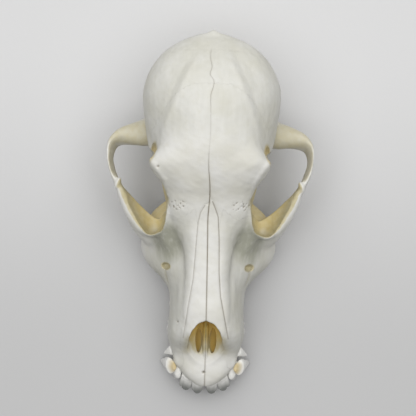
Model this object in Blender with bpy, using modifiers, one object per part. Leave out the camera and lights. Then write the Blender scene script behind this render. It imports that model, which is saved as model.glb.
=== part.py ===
"""Dog skull: the cranium of a young small dog, life size, lying as it rests on a table.

The cranium has no lower jaw. It stands on the tips of its two canine teeth and on the two
tympanic bullae, with the nose towards -Y, the crown towards +Z and the floor at Z = 0.
"""

import math

import bmesh
import bpy
import numpy as np
from mathutils import Matrix, Vector

# Driving dimensions, in millimetres. X is to the side, Y runs from nose to nape, Z is up.
MM = 0.001
SUTURE_GAP = 0.3
FORM_GRAIN = 0.9
BLEND_PASSES = 7
BONE_TRIANGLES = 8000
EDGE_PASSES = 2

# Cranial vault, as lines of (Y, value) landmarks from the forehead back to the nape.
VAULT_SPAN = (12.0, 73.6)
VAULT_HALF_WIDTH = ((12, 12.5), (16, 18.5), (22, 23.0), (30, 25.6), (40, 27.2), (48, 28.0), (54, 27.3),
                    (59, 25.4), (63, 22.9), (67, 19.2), (70, 14.6), (72.2, 9.4), (73.6, 4.4))
VAULT_TOP = ((12, 46), (16, 50), (22, 54), (30, 57), (40, 58.2), (48, 57.6), (54, 56.0),
             (59, 53.8), (64, 50.8), (68, 47.6), (71, 44.6), (73.6, 41.5))
VAULT_WIDEST = ((12, 31), (40, 32), (54, 33), (64, 34), (71, 37), (73.6, 39.5))
VAULT_BASE = ((12, 20), (22, 14.5), (30, 12), (48, 11), (59, 11), (64, 11.5), (68, 13.5), (70.5, 18),
              (72.6, 27), (73.6, 36))

# Forehead and bridge of the nose, whose outline carries the postorbital processes.
ROOF_SPAN = (-47.0, 46.0)
ROOF_HALF_WIDTH = ((-47, 9.4), (-40, 10.0), (-30, 9.6), (-22, 9.2), (-16, 9.6), (-10, 11.0), (-4, 13.8),
                   (2, 15.8), (6.9, 16.4), (10.5, 17.3), (13, 19.0), (15.7, 21.2), (18.7, 23.0),
                   (21.4, 23.9), (23.6, 22.4), (27, 20.4), (32, 19.2), (46, 17))
ROOF_TOP = ((-47, 35.2), (-41, 36.8), (-30, 38.4), (-22, 39.4), (-16, 40.2), (-10, 41.2), (-4, 42.8),
            (2, 45.0), (6.9, 47.4), (13, 51.2), (18.7, 54.2), (24, 56.2), (32, 57.8), (46, 57.6))
ROOF_RIM = ((-47, 30.4), (-30, 32.8), (-16, 34.2), (-10, 35), (-4, 36.8), (2, 38.6), (6.9, 40.4),
            (13, 43.6), (18.7, 46.4), (21.4, 47.2), (27, 47.6), (46, 47))
ROOF_UNDER = ((-47, 20), (-16, 22), (-4, 28), (2, 32), (6.9, 35), (13, 38.4), (21.4, 43), (27, 41), (46, 36))

# Wall between the orbits, down to the roof of the throat.
SEPTUM_SPAN = (-8.0, 32.0)
SEPTUM_HALF_WIDTH = ((-8, 15), (0, 15.6), (8, 19.0), (18, 22.2), (24, 23.8), (32, 25.2))
SEPTUM_TOP = ((-8, 38), (8, 42), (18, 44), (32, 46))
SEPTUM_WIDEST = ((-8, 28), (8, 26), (24, 33), (32, 34))
SEPTUM_BASE = ((-8, 14), (8, 16), (32, 13))

# Muzzle: an arched section over the flat palate.
MUZZLE_SPAN = (-71.8, 7.0)
MUZZLE_HALF_WIDTH = ((-71.8, 2.6), (-70.8, 4.6), (-69.6, 6.4), (-68, 8.4), (-66.3, 10.0), (-63.5, 11.6),
                     (-60.5, 13.0), (-56.5, 14.6), (-53, 15.7), (-50, 16.2), (-44, 16.0), (-36, 15.8),
                     (-30, 16.9), (-26, 20.0), (-22, 24.4), (-18, 27.6), (-13, 29.2), (-7, 28.2),
                     (-2, 26.4), (2, 24.0), (5, 21), (7, 18.5))
MUZZLE_TOP = ((-71.8, 16.6), (-69, 18.4), (-64, 19.6), (-60, 20.2), (-57, 21.8), (-54.5, 25.6), (-52, 30.4),
              (-48.5, 34.6), (-41, 36.4), (-30, 37.2), (-20, 37.2), (-10, 36.4), (-4, 34), (0, 28), (4, 21),
              (7, 17))
MUZZLE_BASE = ((-71.8, 12.2), (-56, 11.8), (-30, 9.8), (-8, 7.8), (2, 7.6), (7, 8.8))
MUZZLE_POWER = ((-69.6, 2.2), (-50, 2.2), (-32, 2.1), (-25, 1.65), (-17, 1.4), (-6, 1.45), (1.5, 1.6))

# Zygomatic arch, from the maxilla out and back to the temporal root:
# (X, Y, Z, half thickness, half height, lean in degrees, outward at the top positive).
ARCH = ((17.5, -9.0, 19.0, 6.0, 9.0, -20), (24.0, -6.2, 18.6, 5.2, 8.6, -24),
        (29.8, -0.6, 18.4, 3.8, 7.6, -24), (34.0, 6.0, 19.2, 2.6, 7.0, -16),
        (37.6, 12.6, 20.8, 2.1, 6.6, -4), (41.0, 19.0, 21.6, 1.8, 6.0, 5),
        (42.1, 25.0, 22.0, 1.7, 5.6, 8), (41.0, 29.8, 22.2, 1.9, 5.2, 14),
        (37.4, 32.8, 22.4, 2.8, 4.6, 24), (32.4, 34.0, 22.4, 3.8, 4.2, 20),
        (27.0, 35.2, 22.6, 5.2, 4.8, 0), (22.0, 36.4, 23.0, 6.0, 5.4, 0))
# Front rim of the orbit, from the forehead round to the arch, in the same measures.
ORBIT_RIM = ((16.0, 7.0, 39.0, 1.2, 2.0, 0), (16.4, 1.6, 36.6, 1.4, 3.2, 0), (17.6, -2.6, 33.4, 1.5, 4.0, 0),
             (19.6, -5.8, 30.6, 1.5, 4.4, 0), (23.0, -7.4, 28.0, 1.6, 4.4, 0), (27.2, -6.0, 26.0, 1.7, 3.8, -10),
             (31.2, -1.6, 25.0, 1.7, 3.0, -20), (34.7, 4.6, 24.6, 1.5, 2.6, -16))
# Swelling of the upper jaw over the canine's root. Centre, radii.
CANINE_BULGE = (11.4, -59.4, 14.4)
CANINE_BULGE_RADII = (2.6, 5.2, 3.2)
# Bone in front of the orbit, over the tear duct. Centre, radii.
TEAR_WALL = (13.6, -4.2, 26.0)
TEAR_WALL_RADII = (7.2, 7.4, 9.8)
# Frontal process of the cheek bone, a low knob on the upper edge of the arch.
CHEEK_KNOB = (37.2, 13.4, 26.6)
CHEEK_KNOB_RADII = (1.3, 3.0, 2.4)

# Openings and hollows. Centre, radii.
ORBIT = (28.8, 9.4, 33.0)
ORBIT_RADII = (11.0, 18.0, 12.8)
ORBIT_TURN = -18
TEMPLE_PIT = (22.7, 26.4, 43.0)
TEMPLE_PIT_RADII = (1.7, 3.9, 8.0)
THROAT = (0.0, 12.0, 9.0)
THROAT_RADII = (6.6, 24.0, 8.0)
SPINAL_OPENING = (0.0, 71.0, 21.0)
SPINAL_RADII = (7.2, 14.0, 6.2)
EAR_OPENING = (25.0, 48.5, 17.5)
EAR_RADII = (7.0, 2.5, 2.7)
CHEEK_CANAL = (17.4, -21.6, 23.4)
CHEEK_CANAL_RADII = (1.6, 3.2, 2.2)
JAW_SOCKET = (31.5, 37.6, 14.6)
JAW_SOCKET_RADII = (7.0, 3.4, 4.0)

# Nose: the cavity, the bony aperture over its front and the two slots in its floor.
NOSE_SPAN = (-63.0, -20.0)
NOSE_HALF_WIDTH = ((-63, 5.4), (-60, 7.6), (-56, 8.0), (-52.5, 7.4), (-50, 7.0), (-40, 6.8), (-30, 6.0),
                   (-20, 4.0))
NOSE_ROOF = ((-63, 27), (-60, 30), (-56, 33), (-52, 33.2), (-48.5, 33.4), (-41, 35.2), (-30, 36.2),
             (-20, 35))
NOSE_FLOOR = ((-63, 20.6), (-60, 19.2), (-57, 18.0), (-54, 17.2), (-52, 16.8), (-40, 16.6), (-20, 20))
APERTURE = ((0, -62.4), (4.4, -61.6), (7.2, -59.0), (7.8, -56.0), (7.2, -52.6), (6.8, -49.6), (5.7, -46.2),
            (3.2, -43.0), (0, -41.6))
APERTURE_HEIGHTS = (23.0, 50.0)
PALATE_SLOT = ((3.0, -52.0, 20.4, 1.5, 5.0, 0), (3.3, -52.0, 16.6, 1.5, 5.2, 0),
               (5.2, -52.0, 11.6, 1.4, 5.0, 0), (6.6, -52.0, 7.4, 1.4, 4.6, 0))
PALATE_VAULT = (0.0, -30.0, 7.6)
PALATE_VAULT_RADII = (13.0, 34.0, 6.4)

# Underside and nape.
BULLA = (13.6, 46.5, 8.7)
BULLA_RADII = (7.6, 10.6, 8.9)
EAR_BASE = (18.6, 48.0, 16.0)
EAR_BASE_RADII = (8.2, 9.4, 6.4)
BULLA_TURN = 14
CONDYLE = (8.8, 68.4, 17.4)
CONDYLE_RADII = (3.6, 4.6, 6.4)
NECK_PROCESS = ((20.0, 57.0, 17.0, 3.4, 4.2), (19.6, 58.4, 11.0, 2.2, 3.6), (18.8, 59.4, 6.0, 1.4, 2.4),
                (18.2, 59.8, 2.4, 0.9, 1.4))
PTERYGOID = ((8.6, 1.0, 13.0, 1.5, 4.5), (8.4, 9.0, 12.4, 1.1, 5.4), (8.2, 17.0, 12.0, 1.0, 5.2),
             (8.4, 23.0, 11.4, 1.0, 4.6), (8.8, 26.0, 8.6, 0.9, 2.4))
JAW_STOP = ((28.4, 37.4, 20.0, 3.8, 2.2), (28.4, 38.2, 15.0, 3.0, 1.8), (28.2, 38.4, 11.4, 1.6, 1.2))
NAPE_CREST = ((0.0, 72.8, 41.6), (6.0, 70.6, 41.0), (13.0, 66.6, 37.6), (19.2, 61.8, 31.0),
              (22.6, 57.6, 23.0))
NAPE_CREST_RADIUS = 1.7
NAPE_POINT = (0.0, 73.2, 41.4)
NAPE_POINT_RADII = (2.6, 2.4, 2.2)

# Sutures, as the outlines of the bones they bound. "top" outlines are (X, Y) and run through
# a range of Z; "side" outlines are (Y, Z) and run through a range of X.
NASAL = ("top", ((0, 5.4), (1.7, 5.0), (3.4, 1.8), (4.1, -7), (4.7, -17), (5.6, -27), (6.5, -33), (7.6, -40),
                 (9.2, -49.4), (0, -49.4)), (32.5, 60.0))
PREMAXILLA = ("top", ((0, -80), (24, -80), (24, -76.5), (16.4, -69.2), (12.1, -64.9), (9.4, -62.9),
                      (8.9, -60), (10.4, -55), (10.2, -50), (9.7, -44.6), (0, -44.6)), (-1.0, 60.0))
TEMPORAL = ("side", ((18.0, 34), (18.0, 26), (24.5, 21.6), (31, 17.4), (32, 4), (55.8, 4), (56.6, 19),
                     (57.5, 28), (52, 35), (44, 37.4), (36, 36.4), (31, 34)), (18.6, 60.0))
OCCIPITAL = ("side", ((90, 70), (66.4, 70), (66.0, 50), (64.6, 42), (62.0, 32), (58.8, 24), (56.0, 18),
                      (46.0, 17), (45.0, -2), (90, -2)), (-60.0, 60.0))
FRONTAL = ("top", ((0, 52), (8, 51.4), (14, 48), (19, 41), (23, 34.5), (30, 29), (30, 7), (17.6, 5.8),
                   (17.0, 1.2), (11.5, -0.8), (5.4, 3.6), (3.6, 2.4), (2.0, 5.6), (0, 6.0)), (33.6, 80.0))
CHEEK = ("top", ((27.4, -14), (26.0, 8), (31, 18), (36, 34), (60, 34), (60, -14)), (-1.0, 60.0))
BASE = ("top", ((0, -6), (9.6, -4), (11.0, 2), (11.0, 12), (30, 14), (30, 80), (-30, 80), (-30, 14),
                (-11.0, 12), (-11.0, 2), (-9.6, -4)), (-1.0, 33.3))
MAXILLA = ("top", ((0, -80), (36, -80), (36, 13), (0, 13)), (-1.0, 60.0))
PARIETAL = ("top", ((0, 90), (60, 90), (60, -10), (0, -10)), (30.0, 90.0))

# Teeth, one side: each is (X, Y, Z at the gum, half length, half breadth, tip dX, tip dY, drop,
# heading of the crown in degrees).
INCISORS = ((2.9, -69.4, 13.4, 2.5, 2.2, 0.1, -6.6, 5.8, 90), (7.3, -68.2, 13.4, 2.5, 2.3, 1.3, -6.0, 6.0, 70),
            (9.9, -66.4, 13.2, 2.2, 2.4, 3.2, -4.2, 7.4, 50))
CANINE = (13.8, -62.2, 14.6, 3.6, 2.3, 5.8, -1.6, 14.6, 10)
PREMOLARS = ((14.4, -56.6, 13.2, 2.5, 1.6, 3.2, -2.4, 5.2, 0), (14.4, -48.2, 12.4, 4.2, 1.7, 1.2, -0.8, 5.8, 2),
             (14.8, -37.2, 11.6, 5.0, 1.9, 1.0, -0.6, 6.4, 5))
CARNASSIAL = ((20.0, -19.0, 11.0, 6.4, 2.6, 1.2, -1.6, 9.4, 14), (22.4, -11.6, 10.4, 4.2, 2.4, 1.0, -0.4, 6.8, 14),
              (16.9, -22.4, 11.0, 2.4, 2.2, 0.2, 0.0, 3.6, 0))
MOLARS = ((21.2, -4.4, 9.6, 4.6, 2.8, 0.9, 0.0, 5.6, 22), (16.4, -3.4, 9.6, 3.6, 3.4, 0.0, 0.2, 3.4, 0),
          (17.8, 3.0, 9.4, 2.7, 2.4, 0.4, 0.2, 3.6, 10), (14.6, 3.0, 9.4, 2.2, 2.2, 0.0, 0.2, 2.4, 0))
ROOT_DEPTH = 4.0
# Share of the length and of the breadth of a crown that is left at its tip.
CHISEL_TIP = (0.78, 0.32)
CONE_TIP = (0.12, 0.16)
BLADE_TIP = (0.16, 0.24)
MILL_TIP = (0.62, 0.52)

# Colours, as linear RGB.
BONE_LINEAR = (0.76, 0.74, 0.66)
BONE_ROUGHNESS = 0.55


def line_at(line, at):
    """Value at one place of the smooth line through (place, value) landmarks."""
    keys, values = np.array(line, dtype=float).T
    slopes = np.gradient(values, keys)
    place = int(np.clip(np.searchsorted(keys, at) - 1, 0, len(keys) - 2))
    step = keys[place + 1] - keys[place]
    t = min(max((at - keys[place]) / step, 0.0), 1.0)
    start = (1 + 2 * t) * (1 - t) ** 2 * values[place] + t * (1 - t) ** 2 * step * slopes[place]
    end = t * t * (3 - 2 * t) * values[place + 1] + t * t * (t - 1) * step * slopes[place + 1]
    return start + end


def smooth_rows(rows, count):
    """Rows of numbers resampled along one smooth curve."""
    rows = np.array(rows, dtype=float)
    steps = np.linalg.norm(np.diff(rows[:, :3], axis=0), axis=1)
    run = np.concatenate(([0.0], np.cumsum(steps)))
    places = np.linspace(0.0, run[-1], count)
    columns = [[line_at(list(zip(run, column)), place) for place in places] for column in rows.T]
    return np.array(columns).T


def arc_power(value, power):
    """A sine or cosine raised to the power that squares or sharpens a round section."""
    return math.copysign(abs(value) ** (2.0 / power), value)


def mesh_object(name, points, faces, collection):
    """An object from points in millimetres."""
    mesh = bpy.data.meshes.new(name)
    mesh.from_pydata([Vector(point) * MM for point in points], [], faces)
    mesh.update()
    result = bpy.data.objects.new(name, mesh)
    collection.objects.link(result)
    return result


def loft(name, rings, collection):
    """A closed skin over rings of equally many points, with flat ends and faces turned outwards."""
    sides = len(rings[0])
    points = [point for ring in rings for point in ring]
    faces = [tuple(reversed(range(sides))), tuple(range(len(points) - sides, len(points)))]
    for row in range(len(rings) - 1):
        for side in range(sides):
            here = row * sides + side
            beside = row * sides + (side + 1) % sides
            faces.append((here, beside, beside + sides, here + sides))
    result = mesh_object(name, points, faces, collection)
    turn_outwards(result.data)
    return result


def turn_outwards(mesh):
    """Face normals of a closed mesh made to point out."""
    work = bmesh.new()
    work.from_mesh(mesh)
    bmesh.ops.recalc_face_normals(work, faces=work.faces)
    work.to_mesh(mesh)
    work.free()


def section_form(name, span, half_width, top, widest, base, collection, power=((0, 2.1), (1, 2.1)),
                 steps=44, sides=44):
    """A form whose cross-sections, along Y, run between top, side and base lines."""
    rings = []
    for y in np.linspace(span[0], span[1], steps):
        width = max(line_at(half_width, y), 0.4)
        crown = line_at(top, y)
        foot = line_at(base, y)
        middle = min(max(line_at(widest, y), foot + 0.3), crown - 0.3)
        bulge = line_at(power, y)
        ring = []
        for side in range(sides):
            angle = 2 * math.pi * side / sides
            rise = arc_power(math.sin(angle), bulge)
            reach = (crown - middle) if rise > 0 else (middle - foot)
            ring.append((width * arc_power(math.cos(angle), bulge), y, middle + reach * rise))
        rings.append(ring)
    return loft(name, rings, collection)


def plate(name, rows, collection, steps=36, sides=16, upright=True):
    """A bar of oval section along rows of (X, Y, Z, half thickness, half height, lean)."""
    rows = [tuple(row) + (0,) * (6 - len(row)) for row in rows]
    path = smooth_rows(rows, steps)
    rings = []
    for place, (x, y, z, thick, tall, lean) in enumerate(path):
        before = path[max(place - 1, 0)][:3]
        after = path[min(place + 1, steps - 1)][:3]
        along = Vector(after - before).normalized()
        guide = Vector((0, 0, 1)) if upright else Vector((0, 1, 0))
        across = along.cross(guide).normalized()
        up = across.cross(along).normalized()
        spin = Matrix.Rotation(math.radians(lean), 3, along)
        across = spin @ across
        up = spin @ up
        rings.append([Vector((x, y, z)) + across * thick * math.cos(2 * math.pi * side / sides)
                      + up * tall * math.sin(2 * math.pi * side / sides) for side in range(sides)])
    return loft(name, rings, collection)


def ball(name, centre, radii, collection, turn=0.0, segments=28):
    """An ellipsoid, turned about Z by some degrees."""
    mesh = bpy.data.meshes.new(name)
    work = bmesh.new()
    bmesh.ops.create_uvsphere(work, u_segments=segments, v_segments=segments // 2, radius=1.0)
    place = (Matrix.Translation(Vector(centre) * MM) @ Matrix.Rotation(math.radians(turn), 4, "Z")
             @ Matrix.Diagonal((radii[0] * MM, radii[1] * MM, radii[2] * MM, 1.0)))
    bmesh.ops.transform(work, matrix=place, verts=work.verts)
    work.to_mesh(mesh)
    work.free()
    result = bpy.data.objects.new(name, mesh)
    collection.objects.link(result)
    return result


def mirrored(source, collection):
    """The other side's copy of a form."""
    mesh = source.data.copy()
    mesh.transform(Matrix.Scale(-1, 4, (1, 0, 0)))
    mesh.flip_normals()
    result = bpy.data.objects.new(source.name + "_other", mesh)
    collection.objects.link(result)
    return result


def evaluated_mesh(source):
    """The mesh of an object with its modifiers applied."""
    bpy.context.view_layer.update()
    graph = bpy.context.evaluated_depsgraph_get()
    return bpy.data.meshes.new_from_object(source.evaluated_get(graph))


def apply_modifiers(target):
    """Modifiers made part of the object's own mesh."""
    mesh = evaluated_mesh(target)
    old = target.data
    target.modifiers.clear()
    target.data = mesh
    bpy.data.meshes.remove(old)


def remove(objects):
    """Forms taken out of the scene once they are used."""
    for used in objects:
        mesh = used.data
        bpy.data.objects.remove(used)
        if mesh.users == 0:
            bpy.data.meshes.remove(mesh)


def joined(name, forms, collection):
    """One object holding the meshes of several forms."""
    work = bmesh.new()
    for form in forms:
        work.from_mesh(form.data)
    mesh = bpy.data.meshes.new(name)
    work.to_mesh(mesh)
    work.free()
    remove(forms)
    result = bpy.data.objects.new(name, mesh)
    collection.objects.link(result)
    return result


def boolean(target, operation, cutter, solver="EXACT"):
    """One Boolean with another object, applied."""
    step = target.modifiers.new(operation.title(), "BOOLEAN")
    step.operation = operation
    step.object = cutter
    step.solver = solver
    apply_modifiers(target)


def keep_largest(target):
    """The largest closed surface of a mesh, without loose scraps."""
    work = bmesh.new()
    work.from_mesh(target.data)
    work.verts.ensure_lookup_table()
    group = {}
    islands = []
    for vertex in work.verts:
        if vertex.index in group:
            continue
        island = [vertex]
        group[vertex.index] = len(islands)
        for member in island:
            for edge in member.link_edges:
                other = edge.other_vert(member)
                if other.index not in group:
                    group[other.index] = len(islands)
                    island.append(other)
        islands.append(island)
    islands.sort(key=len)
    for island in islands[:-1]:
        bmesh.ops.delete(work, geom=island, context="VERTS")
    work.to_mesh(target.data)
    work.free()


def cranium_forms(shapes):
    """The bone's outer forms, still as separate closed skins."""
    forms = [
        section_form("vault", VAULT_SPAN, VAULT_HALF_WIDTH, VAULT_TOP, VAULT_WIDEST, VAULT_BASE, shapes,
                     power=((0, 2.15), (1, 2.15))),
        section_form("roof", ROOF_SPAN, ROOF_HALF_WIDTH, ROOF_TOP, ROOF_RIM, ROOF_UNDER, shapes),
        section_form("septum", SEPTUM_SPAN, SEPTUM_HALF_WIDTH, SEPTUM_TOP, SEPTUM_WIDEST, SEPTUM_BASE,
                     shapes),
        section_form("muzzle", MUZZLE_SPAN, MUZZLE_HALF_WIDTH, MUZZLE_TOP,
                     [(y, base + 1.2) for y, base in MUZZLE_BASE], MUZZLE_BASE, shapes,
                     power=MUZZLE_POWER),
        ball("nape_point", NAPE_POINT, NAPE_POINT_RADII, shapes),
    ]
    paired = [
        plate("arch", ARCH, shapes),
        plate("orbit_rim", ORBIT_RIM, shapes, steps=28),
        ball("cheek_knob", CHEEK_KNOB, CHEEK_KNOB_RADII, shapes, turn=24),
        ball("canine_bulge", CANINE_BULGE, CANINE_BULGE_RADII, shapes),
        ball("tear_wall", TEAR_WALL, TEAR_WALL_RADII, shapes),
        plate("neck_process", NECK_PROCESS, shapes, steps=16, upright=False),
        plate("pterygoid", PTERYGOID, shapes, steps=24),
        plate("jaw_stop", JAW_STOP, shapes, steps=12, upright=False),
        ball("ear_base", EAR_BASE, EAR_BASE_RADII, shapes),
        ball("condyle", CONDYLE, CONDYLE_RADII, shapes, turn=-28),
        plate("nape_crest", [point + (NAPE_CREST_RADIUS, NAPE_CREST_RADIUS, 0) for point in NAPE_CREST],
              shapes, steps=24, sides=10),
    ]
    forms += paired
    forms += [mirrored(form, shapes) for form in paired]
    return forms


def outline_solid(name, shape, collection, grow=0.0, side=1):
    """A solid of one outline, grown outwards all round, for the animal's left or right side."""
    view, outline, (low, high) = shape
    points = grown_outline(outline, grow)
    rings = []
    for level in (low - grow, high + grow):
        if view == "top":
            rings.append([(x, y, level) for x, y in points])
        else:
            rings.append([(level, y, z) for y, z in points])
    result = loft(name, rings, collection)
    if side < 0:
        result.data.transform(Matrix.Scale(-1, 4, (1, 0, 0)))
        result.data.flip_normals()
    return result


def grown_outline(outline, grow):
    """An outline moved outwards by one distance along the mitres of its corners."""
    points = [Vector(point) for point in outline]
    area = sum(a.x * b.y - b.x * a.y for a, b in zip(points, points[1:] + points[:1]))
    turn = 1.0 if area > 0 else -1.0
    result = []
    for place, point in enumerate(points):
        before = (point - points[place - 1]).normalized()
        after = (points[(place + 1) % len(points)] - point).normalized()
        side_before = Vector((before.y, -before.x)) * turn
        side_after = Vector((after.y, -after.x)) * turn
        mitre = (side_before + side_after).normalized()
        result.append(point + mitre * grow / max(mitre.dot(side_after), 0.4))
    return result


def hollow_forms(cutters):
    """The openings and hollows, as closed skins that are taken out of the bone."""
    middle = [(y, 0.5 * (roof + line_at(NOSE_FLOOR, y))) for y, roof in NOSE_ROOF]
    window = APERTURE + tuple((-x, y) for x, y in reversed(APERTURE[1:-1]))
    forms = [
        section_form("nose_hollow", NOSE_SPAN, NOSE_HALF_WIDTH, NOSE_ROOF, middle, NOSE_FLOOR, cutters,
                     steps=24, sides=24),
        outline_solid("aperture", ("top", window, APERTURE_HEIGHTS), cutters),
        ball("throat", THROAT, THROAT_RADII, cutters),
        ball("palate_vault", PALATE_VAULT, PALATE_VAULT_RADII, cutters),
        ball("spinal_opening", SPINAL_OPENING, SPINAL_RADII, cutters),
    ]
    paired = [
        ball("orbit", ORBIT, ORBIT_RADII, cutters, turn=ORBIT_TURN),
        ball("temple_pit", TEMPLE_PIT, TEMPLE_PIT_RADII, cutters, turn=12),
        ball("ear_opening", EAR_OPENING, EAR_RADII, cutters),
        ball("cheek_canal", CHEEK_CANAL, CHEEK_CANAL_RADII, cutters, turn=12),
        ball("jaw_socket", JAW_SOCKET, JAW_SOCKET_RADII, cutters),
        plate("palate_slot", PALATE_SLOT, cutters, steps=10, sides=14, upright=False),
    ]
    return forms + paired + [mirrored(form, cutters) for form in paired]


def fuse_and_blend(target, passes):
    """Overlapping skins made one, and their edges rounded."""
    fuse = target.modifiers.new("Fuse", "REMESH")
    fuse.mode = "VOXEL"
    fuse.voxel_size = FORM_GRAIN * MM
    blend = target.modifiers.new("Blend", "SMOOTH")
    blend.factor = 0.5
    blend.iterations = passes
    apply_modifiers(target)


def build_cranium(shapes, cutters):
    """The whole bone: forms fused into one skin, blended, hollowed and brought to few faces."""
    cranium = joined("cranium", cranium_forms(shapes), shapes)
    fuse_and_blend(cranium, BLEND_PASSES)
    for hollow in hollow_forms(cutters):
        boolean(cranium, "DIFFERENCE", hollow, "MANIFOLD")
        remove([hollow])
    fuse_and_blend(cranium, EDGE_PASSES)
    fewer = cranium.modifiers.new("Fewer", "DECIMATE")
    fewer.ratio = BONE_TRIANGLES / sum(len(face.vertices) - 2 for face in cranium.data.polygons)
    apply_modifiers(cranium)
    keep_largest(cranium)
    return cranium


def take_bone(cranium, name, shape, shapes, cutters, side=1):
    """One bone taken out of the cranium along its sutures, which stay open by the suture gap."""
    bone = bpy.data.objects.new(name, cranium.data.copy())
    shapes.objects.link(bone)
    inner = outline_solid("bone_outline", shape, cutters, side=side)
    outer = outline_solid("bone_space", shape, cutters, grow=SUTURE_GAP, side=side)
    boolean(bone, "INTERSECT", inner, "MANIFOLD")
    boolean(cranium, "DIFFERENCE", outer, "MANIFOLD")
    remove([inner, outer])
    keep_largest(bone)
    return bone


def take_halves(cranium, name, shape, shapes, cutters):
    """The left and the right bone of a pair that meets on the midline."""
    view, outline, depth = shape
    half = tuple((max(x, 0.5 * SUTURE_GAP), y) for x, y in outline)
    return [take_bone(cranium, name + "_left", (view, half, depth), shapes, cutters, 1),
            take_bone(cranium, name + "_right", (view, half, depth), shapes, cutters, -1)]


def crown(name, tooth, tip, collection, sides=8):
    """A tooth: a cone, blade or chisel, with its root sunk in the bone above the gum."""
    x, y, z, half_length, half_breadth, drift_x, drift_y, drop, heading = tooth
    along = Vector((math.sin(math.radians(heading)), math.cos(math.radians(heading)), 0))
    across = Vector((along.y, -along.x, 0))
    rings = []
    for depth in (-ROOT_DEPTH / drop, 0.05, 0.45, 0.8, 1.0):
        drift = 0.7 * depth if depth < 0 else depth ** 1.4
        waist = 0.6 if depth < 0 else 1.0
        worn = max(depth, 0.0) ** 1.8
        reach_along = half_length * (waist - (1.0 - tip[0]) * worn)
        reach_across = half_breadth * (waist - (1.0 - tip[1]) * worn)
        centre = Vector((x + drift_x * drift, y + drift_y * drift, z - drop * depth))
        rings.append([centre + along * reach_along * math.cos(2 * math.pi * side / sides)
                      + across * reach_across * math.sin(2 * math.pi * side / sides)
                      for side in range(sides)])
    return loft(name, rings, collection)


def set_teeth(bone, groups, side, shapes):
    """Teeth fused into the bone that holds them."""
    for teeth, tip in groups:
        for tooth in teeth:
            form = crown("tooth", tooth, tip, shapes)
            if side < 0:
                form.data.transform(Matrix.Scale(-1, 4, (1, 0, 0)))
                form.data.flip_normals()
            boolean(bone, "UNION", form)
            remove([form])
    keep_largest(bone)


def bone_material(name):
    """Clean, dry bone."""
    material = bpy.data.materials.new(name)
    material.use_nodes = True
    shader = material.node_tree.nodes["Principled BSDF"]
    shader.inputs["Base Color"].default_value = BONE_LINEAR + (1.0,)
    shader.inputs["Roughness"].default_value = BONE_ROUGHNESS
    shader.inputs["Metallic"].default_value = 0.0
    return material


def build_bullae(cranium, shapes, cutters):
    """The two ear capsules under the braincase, each flat where it stands."""
    bullae = []
    for name, side in (("bulla_left", 1), ("bulla_right", -1)):
        centre = (side * BULLA[0], BULLA[1], BULLA[2])
        bulla = ball(name, centre, BULLA_RADII, shapes, turn=side * BULLA_TURN, segments=24)
        nest = ball("nest", centre, [radius + SUTURE_GAP for radius in BULLA_RADII], cutters,
                    turn=side * BULLA_TURN, segments=24)
        boolean(cranium, "DIFFERENCE", nest)
        remove([nest])
        bullae.append(bulla)
    return bullae


def stand_flat(bone, cutters):
    """What reaches below the floor cut off flat."""
    floor = outline_solid("floor", ("top", ((-90, -90), (90, -90), (90, 90), (-90, 90)), (-20.0, 0.0)),
                          cutters)
    boolean(bone, "DIFFERENCE", floor)
    remove([floor])


def main():
    """The whole model."""
    for old in list(bpy.data.objects):
        bpy.data.objects.remove(old)
    scene = bpy.context.scene
    shapes = bpy.data.collections.new("dog_skull")
    cutters = bpy.data.collections.new("cutters")
    scene.collection.children.link(shapes)
    scene.collection.children.link(cutters)
    cranium = build_cranium(shapes, cutters)
    bullae = build_bullae(cranium, shapes, cutters)
    bones = list(bullae)
    bones += take_halves(cranium, "nasal", NASAL, shapes, cutters)
    premaxillae = take_halves(cranium, "premaxilla", PREMAXILLA, shapes, cutters)
    bones += [take_bone(cranium, "temporal_left", TEMPORAL, shapes, cutters, 1),
              take_bone(cranium, "temporal_right", TEMPORAL, shapes, cutters, -1),
              take_bone(cranium, "occipital", OCCIPITAL, shapes, cutters)]
    bones += take_halves(cranium, "frontal", FRONTAL, shapes, cutters)
    bones += [take_bone(cranium, "cheek_left", CHEEK, shapes, cutters, 1),
              take_bone(cranium, "cheek_right", CHEEK, shapes, cutters, -1)]
    bones.append(take_bone(cranium, "skull_base", BASE, shapes, cutters))
    maxillae = take_halves(cranium, "maxilla", MAXILLA, shapes, cutters)
    bones += take_halves(cranium, "parietal", PARIETAL, shapes, cutters)
    remove([cranium])
    for bone, side in zip(premaxillae, (1, -1)):
        set_teeth(bone, ((INCISORS, CHISEL_TIP),), side, shapes)
    for bone, side in zip(maxillae, (1, -1)):
        set_teeth(bone, (((CANINE,), CONE_TIP), (PREMOLARS, BLADE_TIP), (CARNASSIAL, BLADE_TIP),
                         (MOLARS, MILL_TIP)), side, shapes)
    bones += premaxillae + maxillae
    for bone in bullae + maxillae:
        stand_flat(bone, cutters)
    frame = bpy.data.objects.new("dog_skull", None)
    shapes.objects.link(frame)
    for bone in bones:
        bone.data.materials.clear()
        bone.data.materials.append(bone_material("bone_" + bone.name))
        bone.parent = frame


main()
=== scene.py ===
"""A young dog's skull, cleaned and whitened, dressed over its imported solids."""
import math
import bmesh
import bpy
import numpy as np
from mathutils import Matrix, Vector


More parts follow.
